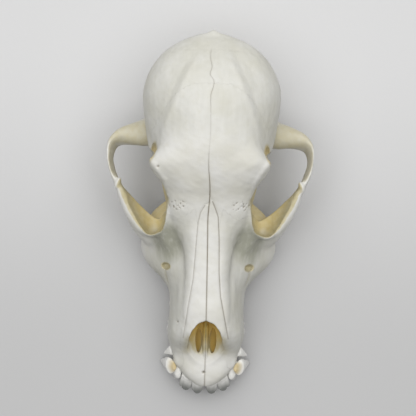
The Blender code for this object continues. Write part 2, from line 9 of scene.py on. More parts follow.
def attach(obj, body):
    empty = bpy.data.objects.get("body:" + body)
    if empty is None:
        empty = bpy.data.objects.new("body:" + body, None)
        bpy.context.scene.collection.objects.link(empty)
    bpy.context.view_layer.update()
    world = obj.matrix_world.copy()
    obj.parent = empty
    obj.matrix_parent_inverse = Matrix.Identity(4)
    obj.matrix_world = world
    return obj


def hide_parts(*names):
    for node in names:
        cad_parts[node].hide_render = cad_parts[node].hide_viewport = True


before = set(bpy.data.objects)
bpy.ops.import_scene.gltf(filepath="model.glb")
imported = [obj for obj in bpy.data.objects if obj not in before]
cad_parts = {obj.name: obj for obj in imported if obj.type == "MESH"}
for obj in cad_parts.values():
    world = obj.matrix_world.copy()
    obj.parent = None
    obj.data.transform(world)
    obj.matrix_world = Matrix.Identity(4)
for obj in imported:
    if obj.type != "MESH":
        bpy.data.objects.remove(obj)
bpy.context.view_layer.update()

bl_info = {
    "name": "Dog Skull",
    "version": (1, 0, 0),
    "blender": (4, 5, 0),
    "location": "View3D > Sidebar > Skull",
    "description": "Bones, teeth and photo stage of a young dog's skull",
    "category": "Object",
}

# Landmarks are in millimetres: X to the animal's left, nose towards -Y, the floor at Z = 0.
MM = 0.001
MIRROR = (-1, 1, 1)
SIDES = ((1, "left"), (-1, "right"))
SEED = 7

COARSE = 1.0

# Sections along a form and points round each of them, and the least that a section is high and wide.
FORM_STEPS = 110
FORM_SIDES = 88
LEAST_HEIGHT = 0.3
LEAST_HALF_WIDTH = 0.4

# Cranial vault, as lines of (Y, value) landmarks from the forehead back to the nape. A power of 2 gives
# the sections the roundness of an ellipse, a higher one makes them squarer.
VAULT_SPAN = (12.0, 73.6)
VAULT_HALF_WIDTH = ((12, 12.5), (16, 18.5), (22, 23.0), (30, 25.6), (40, 27.2), (48, 28.0), (54, 27.3),
                    (59, 25.4), (63, 22.9), (67, 19.2), (70, 14.6), (72.2, 9.4), (73.6, 4.4))
VAULT_TOP = ((12, 46), (16, 50), (22, 54), (30, 57), (40, 58.2), (48, 57.6), (54, 56.0),
             (59, 53.8), (64, 50.8), (68, 47.6), (71, 44.6), (73.6, 41.5))
VAULT_WIDEST = ((12, 31), (40, 32), (54, 33), (64, 34), (71, 37), (73.6, 39.5))
VAULT_BASE = ((12, 20), (22, 14.5), (30, 12), (48, 11), (59, 11), (64, 11.5), (68, 13.5), (70.5, 18),
              (72.6, 27), (73.6, 36))
VAULT_POWER = ((12, 2.15), (73, 2.15))
PLAIN_POWER = ((0, 2.1), (1, 2.1))

# Forehead and bridge of the nose, whose outline carries the postorbital processes.
ROOF_SPAN = (-47.0, 46.0)
ROOF_HALF_WIDTH = ((-47, 9.4), (-40, 10.0), (-30, 9.6), (-22, 9.2), (-16, 9.6), (-10, 11.0), (-4, 13.8),
                   (2, 15.8), (6.9, 16.4), (10.5, 17.3), (13, 19.0), (15.7, 21.2), (18.7, 23.0),
                   (21.4, 23.9), (23.6, 22.4), (27, 20.4), (32, 19.2), (46, 17))
ROOF_TOP = ((-47, 35.2), (-41, 36.8), (-30, 38.4), (-22, 39.4), (-16, 40.2), (-10, 41.2), (-4, 42.8),
            (2, 45.0), (6.9, 47.4), (13, 51.2), (18.7, 54.2), (24, 56.2), (32, 57.8), (46, 57.6))
ROOF_RIM = ((-47, 30.4), (-30, 32.8), (-16, 34.2), (-10, 35), (-4, 36.8), (2, 38.6), (6.9, 40.4),
            (13, 43.6), (18.7, 46.4), (21.4, 47.2), (27, 47.6), (46, 47))
ROOF_UNDER = ((-47, 20), (-16, 22), (-4, 28), (2, 32), (6.9, 35), (13, 38.4), (21.4, 43), (27, 41), (46, 36))

# Wall between the orbits, down to the roof of the throat.
SEPTUM_SPAN = (-8.0, 32.0)
SEPTUM_HALF_WIDTH = ((-8, 15), (0, 15.6), (8, 19.0), (18, 22.2), (24, 23.8), (32, 25.2))
SEPTUM_TOP = ((-8, 38), (8, 42), (18, 44), (32, 46))
SEPTUM_WIDEST = ((-8, 28), (8, 26), (24, 33), (32, 34))
SEPTUM_BASE = ((-8, 14), (8, 16), (32, 13))

# Muzzle: an arched section over the flat palate.
MUZZLE_SPAN = (-71.8, 7.0)
MUZZLE_HALF_WIDTH = ((-71.8, 2.6), (-70.8, 4.6), (-69.6, 6.4), (-68, 8.4), (-66.3, 10.0), (-63.5, 11.6),
                     (-60.5, 13.0), (-56.5, 14.6), (-53, 15.7), (-50, 16.2), (-44, 16.0), (-36, 15.8),
                     (-30, 16.9), (-26, 20.0), (-22, 24.4), (-18, 27.6), (-13, 29.2), (-7, 28.2),
                     (-2, 26.4), (2, 24.0), (5, 21), (7, 18.5))
MUZZLE_TOP = ((-71.8, 16.6), (-69, 18.4), (-64, 19.6), (-60, 20.2), (-57, 21.8), (-54.5, 25.6), (-52, 30.4),
              (-48.5, 34.6), (-41, 36.4), (-30, 37.2), (-20, 37.2), (-10, 36.4), (-4, 34), (0, 28), (4, 21),
              (7, 17))
MUZZLE_BASE = ((-71.8, 12.2), (-56, 11.8), (-30, 9.8), (-8, 7.8), (2, 7.6), (7, 8.8))
MUZZLE_WIDEST_OVER_BASE = 1.2
MUZZLE_POWER = ((-69.6, 2.2), (-50, 2.2), (-32, 2.1), (-25, 1.65), (-17, 1.4), (-6, 1.45), (1.5, 1.6))

# Bars of the skull: (X, Y, Z, half thickness, half height, lean in degrees, outward at the top positive).
ARCH = ((17.5, -9.0, 19.0, 6.0, 9.0, -20), (24.0, -6.2, 18.6, 5.2, 8.6, -24),
        (29.8, -0.6, 18.4, 3.8, 7.6, -24), (34.2, 6.0, 19.2, 2.4, 7.0, -16),
        (38.2, 12.6, 20.8, 1.5, 6.8, -4), (40.9, 19.0, 21.6, 1.05, 6.4, 4),
        (41.9, 25.0, 22.0, 1.0, 6.0, 6), (40.6, 29.8, 22.2, 1.4, 5.6, 16),
        (37.1, 32.7, 22.4, 3.3, 4.8, 26), (32.4, 34.0, 22.4, 4.8, 4.4, 20),
        (27.0, 34.8, 22.6, 6.0, 4.8, 0), (22.0, 36.4, 23.0, 6.4, 5.4, 0))
ORBIT_RIM = ((16.0, 7.0, 39.0, 1.0, 2.0, 0), (16.4, 1.6, 36.6, 1.2, 3.2, 0),
             (17.6, -2.6, 33.4, 1.3, 4.0, 0), (19.6, -5.8, 30.6, 1.3, 4.4, 0),
             (23.0, -7.4, 28.0, 1.4, 4.4, 0), (27.0, -6.0, 26.0, 1.9, 3.8, -10),
             (30.8, -1.6, 25.0, 2.3, 3.4, -16), (34.2, 4.6, 24.8, 2.3, 3.2, -12),
             (36.4, 9.4, 25.4, 1.8, 2.8, -6), (38.0, 13.6, 25.6, 0.9, 1.8, 0),
             (39.2, 17.0, 25.2, 0.4, 0.6, 0))
NECK_PROCESS = ((20.0, 57.0, 17.0, 3.4, 4.2, 0), (19.6, 58.4, 11.0, 2.2, 3.6, 0),
                (18.8, 59.4, 6.0, 1.4, 2.4, 0), (18.2, 59.8, 2.4, 0.9, 1.4, 0))
PTERYGOID = ((8.6, 1.0, 13.0, 1.5, 4.5, 0), (8.4, 9.0, 12.4, 1.1, 5.4, 0),
             (8.2, 17.0, 12.0, 1.0, 5.2, 0), (8.4, 23.0, 11.4, 1.0, 4.6, 0),
             (8.8, 26.0, 8.6, 0.9, 2.4, 0))
JAW_STOP = ((28.4, 37.4, 20.0, 3.8, 2.2, 0), (28.4, 38.2, 15.0, 3.0, 1.8, 0),
            (28.2, 38.4, 11.4, 1.6, 1.2, 0))
NAPE_CREST = ((0.0, 72.8, 41.6, 1.7, 1.7, 0), (6.0, 70.6, 41.0, 1.7, 1.7, 0),
              (13.0, 66.6, 37.6, 1.7, 1.7, 0), (19.2, 61.8, 31.0, 1.7, 1.7, 0),
              (22.6, 57.6, 23.0, 1.7, 1.7, 0))
BRIDGE_SIDE = ((10.2, -47.0, 27.0, 1.4, 2.4, 0), (10.2, -38.0, 28.8, 1.8, 2.8, 0),
               (10.0, -28.0, 29.8, 1.8, 2.8, 0), (9.9, -19.0, 30.4, 1.2, 2.2, 0))
TEAR_BRIDGE = ((14.0, 6.0, 35.6, 2.4, 4.0, 0), (14.4, 0.6, 34.4, 2.8, 4.2, 0),
               (15.8, -3.8, 31.8, 2.8, 4.2, 0), (18.4, -7.0, 28.4, 2.6, 4.0, 0))
NAPE_POINT = ((0.0, 69.0, 41.4, 10.0, 2.4, 0), (0.0, 71.2, 41.4, 7.6, 2.2, 0),
              (0.0, 72.8, 41.4, 4.6, 1.8, 0), (0.0, 74.1, 41.4, 2.2, 1.2, 0),
              (0.0, 75.2, 41.4, 0.5, 0.5, 0))

# Knobs and swellings: centre, radii, turn about Z in degrees.
CANINE_BULGE = ((11.2, -59.2, 14.0), (2.4, 5.2, 3.2), 0)
TEAR_WALL = ((14.8, -6.0, 24.0), (6.4, 9.5, 9.6), 0)
CHEEK_KNOB = ((37.9, 13.4, 27.0), (1.1, 2.8, 2.0), 24)
EAR_BASE = ((18.6, 48.0, 16.0), (8.2, 9.4, 6.4), 0)
CONDYLE = ((8.8, 68.4, 17.4), (3.6, 4.6, 6.4), -28)
EAR_CAPSULE = ((13.6, 46.5, 8.7), (7.6, 10.6, 8.9), 14)

# Hollows: bars, and balls of centre, radii and turn about Z in degrees.
ORBIT_HOLLOW = ((22.4, -7.2, 33.0, 0.8, 2.0, 0), (22.5, -6.8, 33.0, 2.4, 8.0, 0),
                (22.6, -5.9, 33.0, 3.8, 10.8, 0), (22.8, -4.3, 33.0, 4.9, 12.0, 0),
                (23.1, -2.2, 33.0, 6.1, 12.6, 0), (23.7, 0.4, 33.0, 7.0, 13.0, 0),
                (24.5, 3.6, 33.0, 8.0, 13.6, 0), (25.5, 7.6, 33.0, 8.9, 13.8, 0),
                (26.5, 12.0, 33.2, 9.2, 13.4, 0), (28.0, 17.0, 33.6, 9.2, 12.4, 0),
                (29.2, 22.0, 34.2, 8.4, 10.4, 0), (30.0, 26.0, 34.8, 6.0, 7.6, 0),
                (30.4, 29.0, 35.2, 1.0, 1.4, 0))
TEMPLE_PIT = ((23.1, 25.0, 44.0), (1.6, 3.8, 6.8), 10)
EAR_OPENING = ((25.0, 48.5, 17.5), (7.0, 2.5, 2.7), 0)
CHEEK_CANAL = ((17.2, -20.6, 25.2), (2.3, 1.4, 3.4), 0)
JAW_SOCKET = ((31.5, 37.6, 14.6), (7.0, 3.4, 4.0), 0)
PALATE_SLOT = ((2.6, -52.0, 20.4, 1.5, 5.0, 0), (3.2, -52.0, 16.8, 1.5, 5.2, 0),
               (6.4, -52.0, 12.4, 1.4, 5.0, 0), (8.4, -52.0, 8.6, 1.3, 4.6, 0))
THROAT = ((0.0, 12.0, 9.0), (6.6, 24.0, 8.0), 0)
PALATE_VAULT = ((0.0, -30.0, 7.6), (13.0, 34.0, 6.4), 0)
SPINAL_OPENING = ((0.0, 71.0, 21.0), (7.2, 14.0, 6.2), 0)

# Nose: the cavity and the bony aperture over its front.
NOSE_SPAN = (-63.0, -20.0)
NOSE_HALF_WIDTH = ((-63, 5.4), (-60, 7.6), (-56, 8.0), (-52.5, 7.4), (-50, 7.0), (-40, 6.8), (-30, 6.0),
                   (-20, 4.0))
NOSE_ROOF = ((-63, 27), (-60, 30), (-56, 33), (-52, 33.2), (-48.5, 33.4), (-41, 35.2), (-30, 36.2),
             (-20, 35))
NOSE_FLOOR = ((-63, 20.6), (-60, 19.2), (-57, 18.0), (-54, 17.2), (-52, 16.8), (-40, 16.6), (-20, 20))
APERTURE = ((0, -62.4), (4.4, -61.6), (7.2, -59.0), (7.8, -56.0), (7.2, -52.6), (6.8, -49.6), (5.7, -46.2),
            (3.2, -43.0), (0, -41.6))
APERTURE_HEIGHTS = (23.0, 50.0)
NOSE_WALL = ((0.0, -60.0, 18.4, 0.7, 1.0, 0), (0.0, -56.0, 17.6, 1.2, 2.6, 0),
             (0.0, -50.0, 17.6, 1.4, 3.6, 0), (0.0, -44.0, 20.0, 1.0, 6.0, 0),
             (0.0, -30.0, 25.0, 0.8, 10.0, 0))
NOSE_SCROLL = ((4.4, -48.4, 23.0, 0.5, 1.4, 30), (4.2, -45.0, 24.5, 0.9, 2.8, 30),
               (4.0, -36.0, 25.6, 1.1, 3.2, 30))
NOSE_SHELF = ((4.6, -43.6, 27.4, 0.5, 1.2, -55), (4.4, -40.0, 28.4, 0.7, 2.4, -55),
              (4.0, -34.0, 30.0, 0.8, 2.6, -55))

# Slopes smoothed further than the rest: region (centre, radii, turn about Z), reach of the smoothing.
SLOPES = ((((17.5, -14.5, 29.0), (7.4, 13.0, 12.0), 30), 6.5),
          (((12.4, -6.0, 35.0), (4.4, 10.0, 9.0), 15), 9.0),
          (((10.5, -27.0, 30.0), (4.5, 26.0, 5.0), 0), 3.0))

# Course of the midline sutures, as (Y, X).
MIDLINE = ((-80, 0), (-44, 0), (-25, -0.1), (-8.8, -0.3), (0.5, -0.35), (9, 0.15), (13.5, 0), (20, -0.6),
           (34, -0.2), (42, -0.35), (48, -0.3), (50, 0.3), (53, 0.5), (55.3, -0.9), (58.2, -0.3),
           (62.6, -1.0), (70, 0), (90, 0))

# Sutures, as outlines of the bones they bound: (view, outline, (low, high)). "top" outlines are
# (X, Y) over a range of Z, "side" outlines are (Y, Z) over a range of X.
NASAL_LEFT = ("top", ((0, 8.6), (1.3, 6.4), (2.6, 3.4), (3.7, 0.3), (4.35, -8.8), (4.7, -22), (5.5, -31.5),
                      (7.6, -41.6), (9.2, -49.4), (0, -49.4)), (32.5, 60.0))
NASAL_RIGHT = ("top", ((0, 5.4), (1.7, 4.8), (3.4, 1.9), (4.2, -2), (4.7, -9), (5.7, -24.8), (7.4, -35.6),
                       (9.2, -49.4), (0, -49.4)), (32.5, 60.0))
PREMAXILLA = ("top", ((0, -80), (24, -80), (24, -76.5), (16.4, -69.2), (12.1, -64.9), (9.4, -62.9),
                      (8.9, -60), (10.4, -55), (10.2, -50), (9.7, -44.6), (0, -44.6)), (-1.0, 60.0))
TEMPORAL = ("side", ((18.0, 34), (18.0, 26), (24.5, 21.6), (31, 17.4), (32, 4), (55.8, 4), (56.6, 19),
                     (57.5, 28), (52, 35), (44, 37.4), (36, 36.4), (31, 34)), (18.6, 60.0))
OCCIPITAL = ("side", ((90, 70), (66.4, 70), (66.0, 50), (64.6, 42), (62.0, 32), (58.8, 24), (56.0, 18),
                      (46.0, 17), (45.0, -2), (90, -2)), (-60.0, 60.0))
FRONTAL = ("top", ((0, 52), (8, 51.4), (14, 48), (19, 41), (23, 34.5), (30, 29), (30, 7), (17.6, 5.8),
                   (17.0, 1.2), (11.5, -0.8), (5.6, 3.4), (4.3, -2.4), (3.0, -2.4), (1.0, 4.0), (0, 4.0)),
           (33.6, 80.0))
CHEEK = ("top", ((27.4, -14), (26.0, 8), (31, 18), (36, 34), (60, 34), (60, -14)), (-1.0, 60.0))
BASE = ("top", ((0, -6), (9.6, -4), (11.0, 2), (11.0, 12), (30, 14), (30, 80), (-30, 80), (-30, 14),
                (-11.0, 12), (-11.0, 2), (-9.6, -4)), (-1.0, 33.3))
MAXILLA = ("top", ((0, -80), (36, -80), (36, 13), (0, 13)), (-1.0, 60.0))
PARIETAL = ("top", ((0, 90), (60, 90), (60, -10), (0, -10)), (30.0, 90.0))

# Spacing of the small teeth of a suture between halves and round a single bone, the least share of
# their swing, the steps and swing of the midline, and how far a right half reaches over it.
HALF_PITCH = 1.1
SINGLE_PITCH = 1.2
LEAST_SWING = 0.3
MIDLINE_STEP = 0.9
MIDLINE_SWING = 0.22
PAST_MIDLINE = (-1.3, 0.6)
# How far a sharp corner may run out when an outline is grown, as the least share of its mitre.
MITRE_LIMIT = 0.4

# Teeth of one side: cusps as (X, Y, Z at the gum, half length, half breadth, lean of the tip in X and
# in Y, drop, heading), each with the share of length and breadth that is left at the tip.
CHISEL_TIP = (0.80, 0.30)
LOBE_TIP = (0.70, 0.35)
CONE_TIP = (0.10, 0.14)
SPIKE_TIP = (0.34, 0.5)
BLADE_TIP = (0.14, 0.20)
MILL_TIP = (0.55, 0.50)
TEETH = {
    "incisor_1": (((2.9, -69.0, 12.8, 2.1, 2.0, 0.1, -7.0, 5.4, 90), CHISEL_TIP),
                  ((1.6, -68.8, 12.8, 1.2, 1.6, 0.0, -6.0, 4.4, 90), LOBE_TIP),
                  ((4.3, -68.8, 12.8, 1.2, 1.6, 0.2, -6.0, 4.4, 90), LOBE_TIP)),
    "incisor_2": (((6.9, -67.7, 12.8, 2.1, 2.0, 1.5, -6.9, 5.6, 72), CHISEL_TIP),
                  ((5.6, -67.9, 12.8, 1.2, 1.6, 1.2, -6.0, 4.4, 72), LOBE_TIP),
                  ((8.3, -66.9, 12.8, 1.3, 1.6, 2.0, -5.8, 4.4, 72), LOBE_TIP)),
    "incisor_3": (((11.8, -65.2, 12.8, 3.7, 1.7, 1.0, -4.4, 8.6, 12), SPIKE_TIP),
                  ((12.7, -62.4, 13.4, 1.6, 1.1, 0.6, -1.0, 3.6, 14), CONE_TIP)),
    "canine": (((14.8, -63.6, 13.6, 3.4, 1.9, 4.8, 0.2, 13.6, 10), CONE_TIP),),
    "premolar_1": (((13.9, -56.8, 12.4, 2.3, 1.5, 4.0, -2.4, 5.0, 0), BLADE_TIP),),
    "premolar_2": (((14.6, -48.2, 11.8, 3.6, 1.6, 2.2, -0.8, 5.4, 2), BLADE_TIP),
                   ((14.7, -45.4, 11.8, 1.9, 1.3, 1.8, 0.2, 2.8, 2), CONE_TIP)),
    "premolar_3": (((14.1, -37.6, 11.2, 4.2, 1.7, 1.0, -0.6, 6.2, 5), BLADE_TIP),
                   ((14.4, -34.2, 11.2, 2.2, 1.4, 0.7, 0.4, 3.2, 5), CONE_TIP)),
    "carnassial": (((19.6, -20.0, 11.0, 5.4, 2.6, 1.2, -1.6, 9.4, 14), BLADE_TIP),
                   ((21.9, -12.4, 10.6, 4.8, 2.3, 1.0, -0.6, 6.8, 14), BLADE_TIP),
                   ((16.9, -22.4, 11.0, 2.4, 2.2, 0.2, 0.0, 3.6, 0), CONE_TIP)),
    "molar_1": (((21.0, -6.4, 9.6, 2.8, 2.6, 0.9, -0.2, 5.4, 22), BLADE_TIP),
                ((22.4, -2.0, 9.6, 2.5, 2.4, 0.8, 0.2, 4.6, 22), BLADE_TIP),
                ((16.4, -3.4, 9.6, 3.4, 3.2, 0.0, 0.2, 3.2, 0), MILL_TIP)),
    "molar_2": (((18.0, 2.8, 9.4, 2.5, 2.3, 0.4, 0.2, 3.4, 10), MILL_TIP),
                ((14.8, 3.0, 9.4, 2.1, 2.1, 0.0, 0.2, 2.4, 0), MILL_TIP)),
}
# A cusp from the bone above the gum down to its tip: depth and lean of the root, how late the crown
# leans and narrows, its belly, and where it rounds off.
ROOT_DEPTH = 1.8
ROOT_LEAN = 3.0
LEAN_LATE = 1.4
NARROW_LATE = 1.8
BELLY = 0.05
ROUND_FROM = 0.9
# Where the enamel begins, below the gum line or, where negative, above it: the canine's bare neck
# shows beside the bone, and the others' necks are hidden in it.
BARE_NECK = {"canine": -0.8}
HIDDEN_NECK = -4.0
# How grey the tips are painted: painted shade on the crowns' lower ends, strongest on the incisors.
GLASSY_TIP = {"incisor_1": 1.0, "incisor_2": 1.0, "incisor_3": 0.45}
DULL_TIP = 0.25

# Swells of a surface: length and height, and the length of the vessel pits.
BONE_SWELL = (11.0, 0.10)
BONE_RIPPLE = (3.4, 0.035)
CAPSULE_SWELL = (5.0, 0.06)
TOOTH_SWELL = (2.4, 0.04)
PIT_LENGTH = 1.3

# Relief of the bone: the temporal line as (Y, X), depths and heights, and ridges and grooves as
# (path, height, half width).
TEMPLE_LINE = ((18, 23.9), (21.5, 23.3), (26.5, 21.7), (38, 17.5), (52, 11.8), (60, 8.2), (68, 4.0))
# The hollow outside the temporal line: depth, and where it deepens and runs out. The ridge beside it:
# height, place outside the line, half width.
TEMPLE_HOLLOW = (0.75, (-0.6, 3.2), (5.0, 12.0))
TEMPLE_RIDGE = (0.20, -0.8, 1.3)
# The furrow of the forehead: depth, middle in Y, half length, half width.
FURROW = (0.55, 6.0, 12.0, 4.2)
# The field of vessel pits behind the orbit's rim: centre and radii in X and Y, and the pits' depth.
PITTED = ((12.6, 4.8), (4.6, 2.4))
PIT_DEPTH = 0.22
NASAL_GROOVE = 0.16
MIDLINE_GROOVE = 0.14
GROOVE_WIDTH = 0.4
BROW_EDGE = (((23.2, 22.2), (20.4, 18.0), (17.8, 14.4), (16.9, 9.0)), 0.40, 1.0)
NOSE_LIP = (APERTURE[1:6], -0.3, 2.2)
CANINE_ROOT = (((14.6, -60.0, 17.5), (14.4, -54.0, 22.0), (13.4, -47.0, 26.5)), 0.55, 2.4)
CHEEK_GROOVE = (((17.2, -23.0, 23.4), (16.9, -26.5, 21.6), (16.5, -31.0, 20.6), (16.2, -36.0, 19.6)),
                -0.60, 1.5)
# Nerve holes: (X, Y), radius, depth.
NERVE_HOLES = (((-20.3, 19.6), 0.42, 0.6), ((-0.6, -65.2), 0.45, 1.6), ((-11.6, -43.0), 0.4, 0.7))

# Regions of colour: centre, radii, turn about Z.
ORBIT_REACH = ((26.4, 8.6, 33.0), (10.4, 16.4, 13.6), -16)
ORBIT_FRONT = ((23.0, 0.0, 31.0), (8.0, 7.5, 10.5), 0)
ORBIT_FLOOR = ((23.0, 5.0, 20.0), (9.0, 9.0, 14.0), 0)
NOSE_REACH = ((0.0, -43.0, 24.0), (8.4, 19.6, 16.0), 0)
SLOT_REACH = ((5.0, -52.0, 12.4), (6.4, 6.8, 9.0), 0)
ARCH_ROOT = ((33.0, 33.6, 26.0), (11.5, 7.0, 7.0), 0)
# The hollow before the orbit, where painted shade is greyed in.
FOSSA = ((16.4, -9.5, 30.0), (10.0, 15.5, 14.0), 25)
# Lines of colour: (path, strength, half width).
LIP_TINT = (APERTURE[3:6], 0.6, 1.8)
CANAL_TINT = (CHEEK_GROOVE[0][:3], 0.35, 1.0)
# Stain of the nasal sutures, left and right, and their half width.
SUTURE_STAIN = (0.62, 0.36)
STAIN_WIDTH = 0.2
# Outer edge of the nasal bones, as (Y, X).
NASAL_EDGE = ((-49, 9.2), (-41.6, 7.6), (-31.5, 5.6), (-22, 4.8), (-9, 4.4), (0, 3.8), (6, 1.6))
# Strength of the midline suture's stain, as (Y, strength).
MIDLINE_STAIN = ((-72, 0.6), (-60, 0.6), (-20, 0.95), (12, 0.9), (20, 0.5), (26, 0.1), (40, 0.15),
                 (48, 0.4), (62, 0.3), (68, 0))

# Widths of the patterns in the finishes.
CLOUD_WIDTH = 14.3
FLECK_WIDTH = 2.08
STREAK_WIDTH = 1.67
GRAIN_WIDTH = 0.91
HAZE_WIDTH = 2.38
PAPER_GRAIN = 1.11
# Width of a streak as a share of its length.
STREAK_DRAW = 0.14

# Stage: half the floor, the lamp's side, place and power in watts, the light from all round, and the
# point that the camera stands over.
FLOOR_HALF = 900.0
LAMP_SIDE = 1400.0
LAMP_PLACE = (0.0, 220.0, 780.0)
LAMP_POWER = 12.4
ROOM_LIGHT = 0.12
CAMERA_OVER = (-0.45, 3.9)
SENSOR_WIDTH = 36.0

# Share of the way to its neighbours' middle that one smoothing pass moves a point.
SMOOTH_SHARE = 0.5
TOOTH_PASSES = 6
SHARP_ANGLE = 55


def linear(code):
    """Linear RGB of an sRGB hex colour."""
    parts = [int(code[place:place + 2], 16) / 255 for place in (1, 3, 5)]
    return tuple(part / 12.92 if part <= 0.04045 else ((part + 0.055) / 1.055) ** 2.4 for part in parts)


def line_at(line, at):
    """Values at places of the smooth line through (place, value) landmarks."""
    keys, values = np.array(line, dtype=float).T
    slopes = np.gradient(values, keys)
    place = np.clip(np.searchsorted(keys, at) - 1, 0, len(keys) - 2)
    step = keys[place + 1] - keys[place]
    t = np.clip((at - keys[place]) / step, 0.0, 1.0)
    start = (1 + 2 * t) * (1 - t) ** 2 * values[place] + t * (1 - t) ** 2 * step * slopes[place]
    end = t * t * (3 - 2 * t) * values[place + 1] + t * t * (t - 1) * step * slopes[place + 1]
    return start + end


def ramp(values, low, high):
    """Smooth step from 0 at low to 1 at high."""
    t = np.clip((values - low) / (high - low), 0.0, 1.0)
    return t * t * (3 - 2 * t)


def waves(points, length, seed, count=28):
    """Smooth seeded noise about 1 high whose swells are about one length long."""
    draw = np.random.RandomState(seed)
    total = np.zeros(len(points))
    for _ in range(count):
        heading = draw.normal(size=3)
        heading *= 2 * math.pi / (length * np.linalg.norm(heading) * draw.uniform(0.7, 1.5))
        total += np.cos(points @ heading + draw.uniform(0, 2 * math.pi))
    return total / math.sqrt(count)


def path_distance(points, path):
    """Distance of each point from a line through corner points."""
    path = np.array(path, dtype=float)
    points = points[:, :path.shape[1]]
    nearest = np.full(len(points), 1e9)
    for start, end in zip(path[:-1], path[1:]):
        along = end - start
        share = np.clip((points - start) @ along / (along @ along), 0.0, 1.0)
        nearest = np.minimum(nearest, np.linalg.norm(points - start - share[:, None] * along, axis=1))
    return nearest


def region_share(points, region):
    """How far out each point is in an ellipsoid: 1 on its surface."""
    centre, radii, turn = region
    angle = math.radians(turn)
    offset = points - np.array(centre)
    across = offset[:, 0] * math.cos(angle) + offset[:, 1] * math.sin(angle)
    along = offset[:, 1] * math.cos(angle) - offset[:, 0] * math.sin(angle)
    return np.sqrt((across / radii[0]) ** 2 + (along / radii[1]) ** 2 + (offset[:, 2] / radii[2]) ** 2)


def mesh_object(name, points, faces):
    """An object from points in millimetres, with its faces turned outwards."""
    mesh = bpy.data.meshes.new(name)
    mesh.from_pydata((np.asarray(points, dtype=float).reshape(-1, 3) * MM).tolist(), [], faces)
    work = bmesh.new()
    work.from_mesh(mesh)
    bmesh.ops.recalc_face_normals(work, faces=work.faces)
    work.to_mesh(mesh)
    work.free()
    made = bpy.data.objects.new(name, mesh)
    bpy.context.scene.collection.objects.link(made)
    return made


def loft(name, rings):
    """A closed skin over rings of equally many points, with flat ends."""
    rings = np.asarray(rings, dtype=float)
    rows, sides = rings.shape[:2]
    faces = [tuple(range(sides)), tuple(range((rows - 1) * sides, rows * sides))]
    for row in range(rows - 1):
        here = row * sides
        faces += [(here + side, here + (side + 1) % sides, here + sides + (side + 1) % sides,
                   here + sides + side) for side in range(sides)]
    return mesh_object(name, rings, faces)


def section_form(name, span, half_width, top, widest, base, power=PLAIN_POWER):
    """A form whose cross-sections, along Y, run between top, side and base lines."""
    y = np.linspace(span[0], span[1], FORM_STEPS)[:, None]
    turn = np.linspace(0, 2 * math.pi, FORM_SIDES, endpoint=False)[None, :]
    crown = line_at(top, y)
    foot = line_at(base, y)
    middle = np.clip(line_at(widest, y), foot + LEAST_HEIGHT, crown - LEAST_HEIGHT)
    bulge = 2.0 / line_at(power, y)
    rise = np.sign(np.sin(turn)) * np.abs(np.sin(turn)) ** bulge
    x = np.sign(np.cos(turn)) * np.abs(np.cos(turn)) ** bulge
    x = np.maximum(line_at(half_width, y), LEAST_HALF_WIDTH) * x
    z = middle + np.where(rise > 0, crown - middle, middle - foot) * rise
    return loft(name, np.stack([x, np.broadcast_to(y, x.shape), z], axis=-1))


def bar(name, rows, steps=64, sides=32, upright=True):
    """A bar of oval section along rows of (X, Y, Z, half thickness, half height, lean)."""
    rows = np.array(rows, dtype=float)
    run = np.concatenate(([0.0], np.cumsum(np.linalg.norm(np.diff(rows[:, :3], axis=0), axis=1))))
    places = np.linspace(0.0, run[-1], steps)
    path = np.stack([line_at(list(zip(run, column)), places) for column in rows.T], axis=-1)
    guide = Vector((0, 0, 1)) if upright else Vector((0, 1, 0))
    turns = np.linspace(0, 2 * math.pi, sides, endpoint=False)
    rings = []
    for place, (x, y, z, thick, tall, lean) in enumerate(path):
        along = Vector(path[min(place + 1, steps - 1)][:3] - path[max(place - 1, 0)][:3]).normalized()
        across = along.cross(guide).normalized()
        up = across.cross(along).normalized()
        spin = Matrix.Rotation(math.radians(lean), 3, along)
        rings.append(np.array((x, y, z)) + np.outer(np.cos(turns) * thick, spin @ across)
                     + np.outer(np.sin(turns) * tall, spin @ up))
    return loft(name, rings)


def ball(name, shape, grow=0.0, segments=72):
    """An ellipsoid: centre, radii and turn about Z."""
    centre, radii, turn = shape
    made = mesh_object(name, [], [])
    work = bmesh.new()
    bmesh.ops.create_uvsphere(work, u_segments=segments, v_segments=segments // 2, radius=1.0)
    place = (Matrix.Translation(Vector(centre) * MM) @ Matrix.Rotation(math.radians(turn), 4, "Z")
             @ Matrix.Diagonal([(radius + grow) * MM for radius in radii] + [1.0]))
    bmesh.ops.transform(work, matrix=place, verts=work.verts)
    work.to_mesh(made.data)
    work.free()
    return made


def other_side(source):
    """The right side's copy of a form."""
    mesh = source.data.copy()
    mesh.transform(Matrix.Scale(-1, 4, (1, 0, 0)))
    mesh.flip_normals()
    made = bpy.data.objects.new(source.name + "_other", mesh)
    bpy.context.scene.collection.objects.link(made)
    return made


def both_sides(forms):
    """Forms of the left side with their copies on the right."""
    return forms + [other_side(form) for form in forms]


def apply_modifiers(target):
    """Modifiers made part of the object's own mesh."""
    bpy.context.view_layer.update()
    graph = bpy.context.evaluated_depsgraph_get()
    mesh = bpy.data.meshes.new_from_object(target.evaluated_get(graph))
    old = target.data
    target.modifiers.clear()
    target.data = mesh
    bpy.data.meshes.remove(old)


def remove(objects):
    """Forms taken out of the scene once they are used."""
    for used in objects:
        mesh = used.data
        bpy.data.objects.remove(used)
        bpy.data.meshes.remove(mesh)


def smooth(target, passes, group=""):
    """Smoothing passes over the whole of a form, or over a group of its points."""
    step = target.modifiers.new("Smooth", "SMOOTH")
    step.factor = SMOOTH_SHARE
    step.iterations = passes
    step.vertex_group = group


def passes_for(reach, grain):
    """Smoothing passes that round a mesh of one grain over a given reach."""
    return max(int(round((reach / grain) ** 2)), 1)


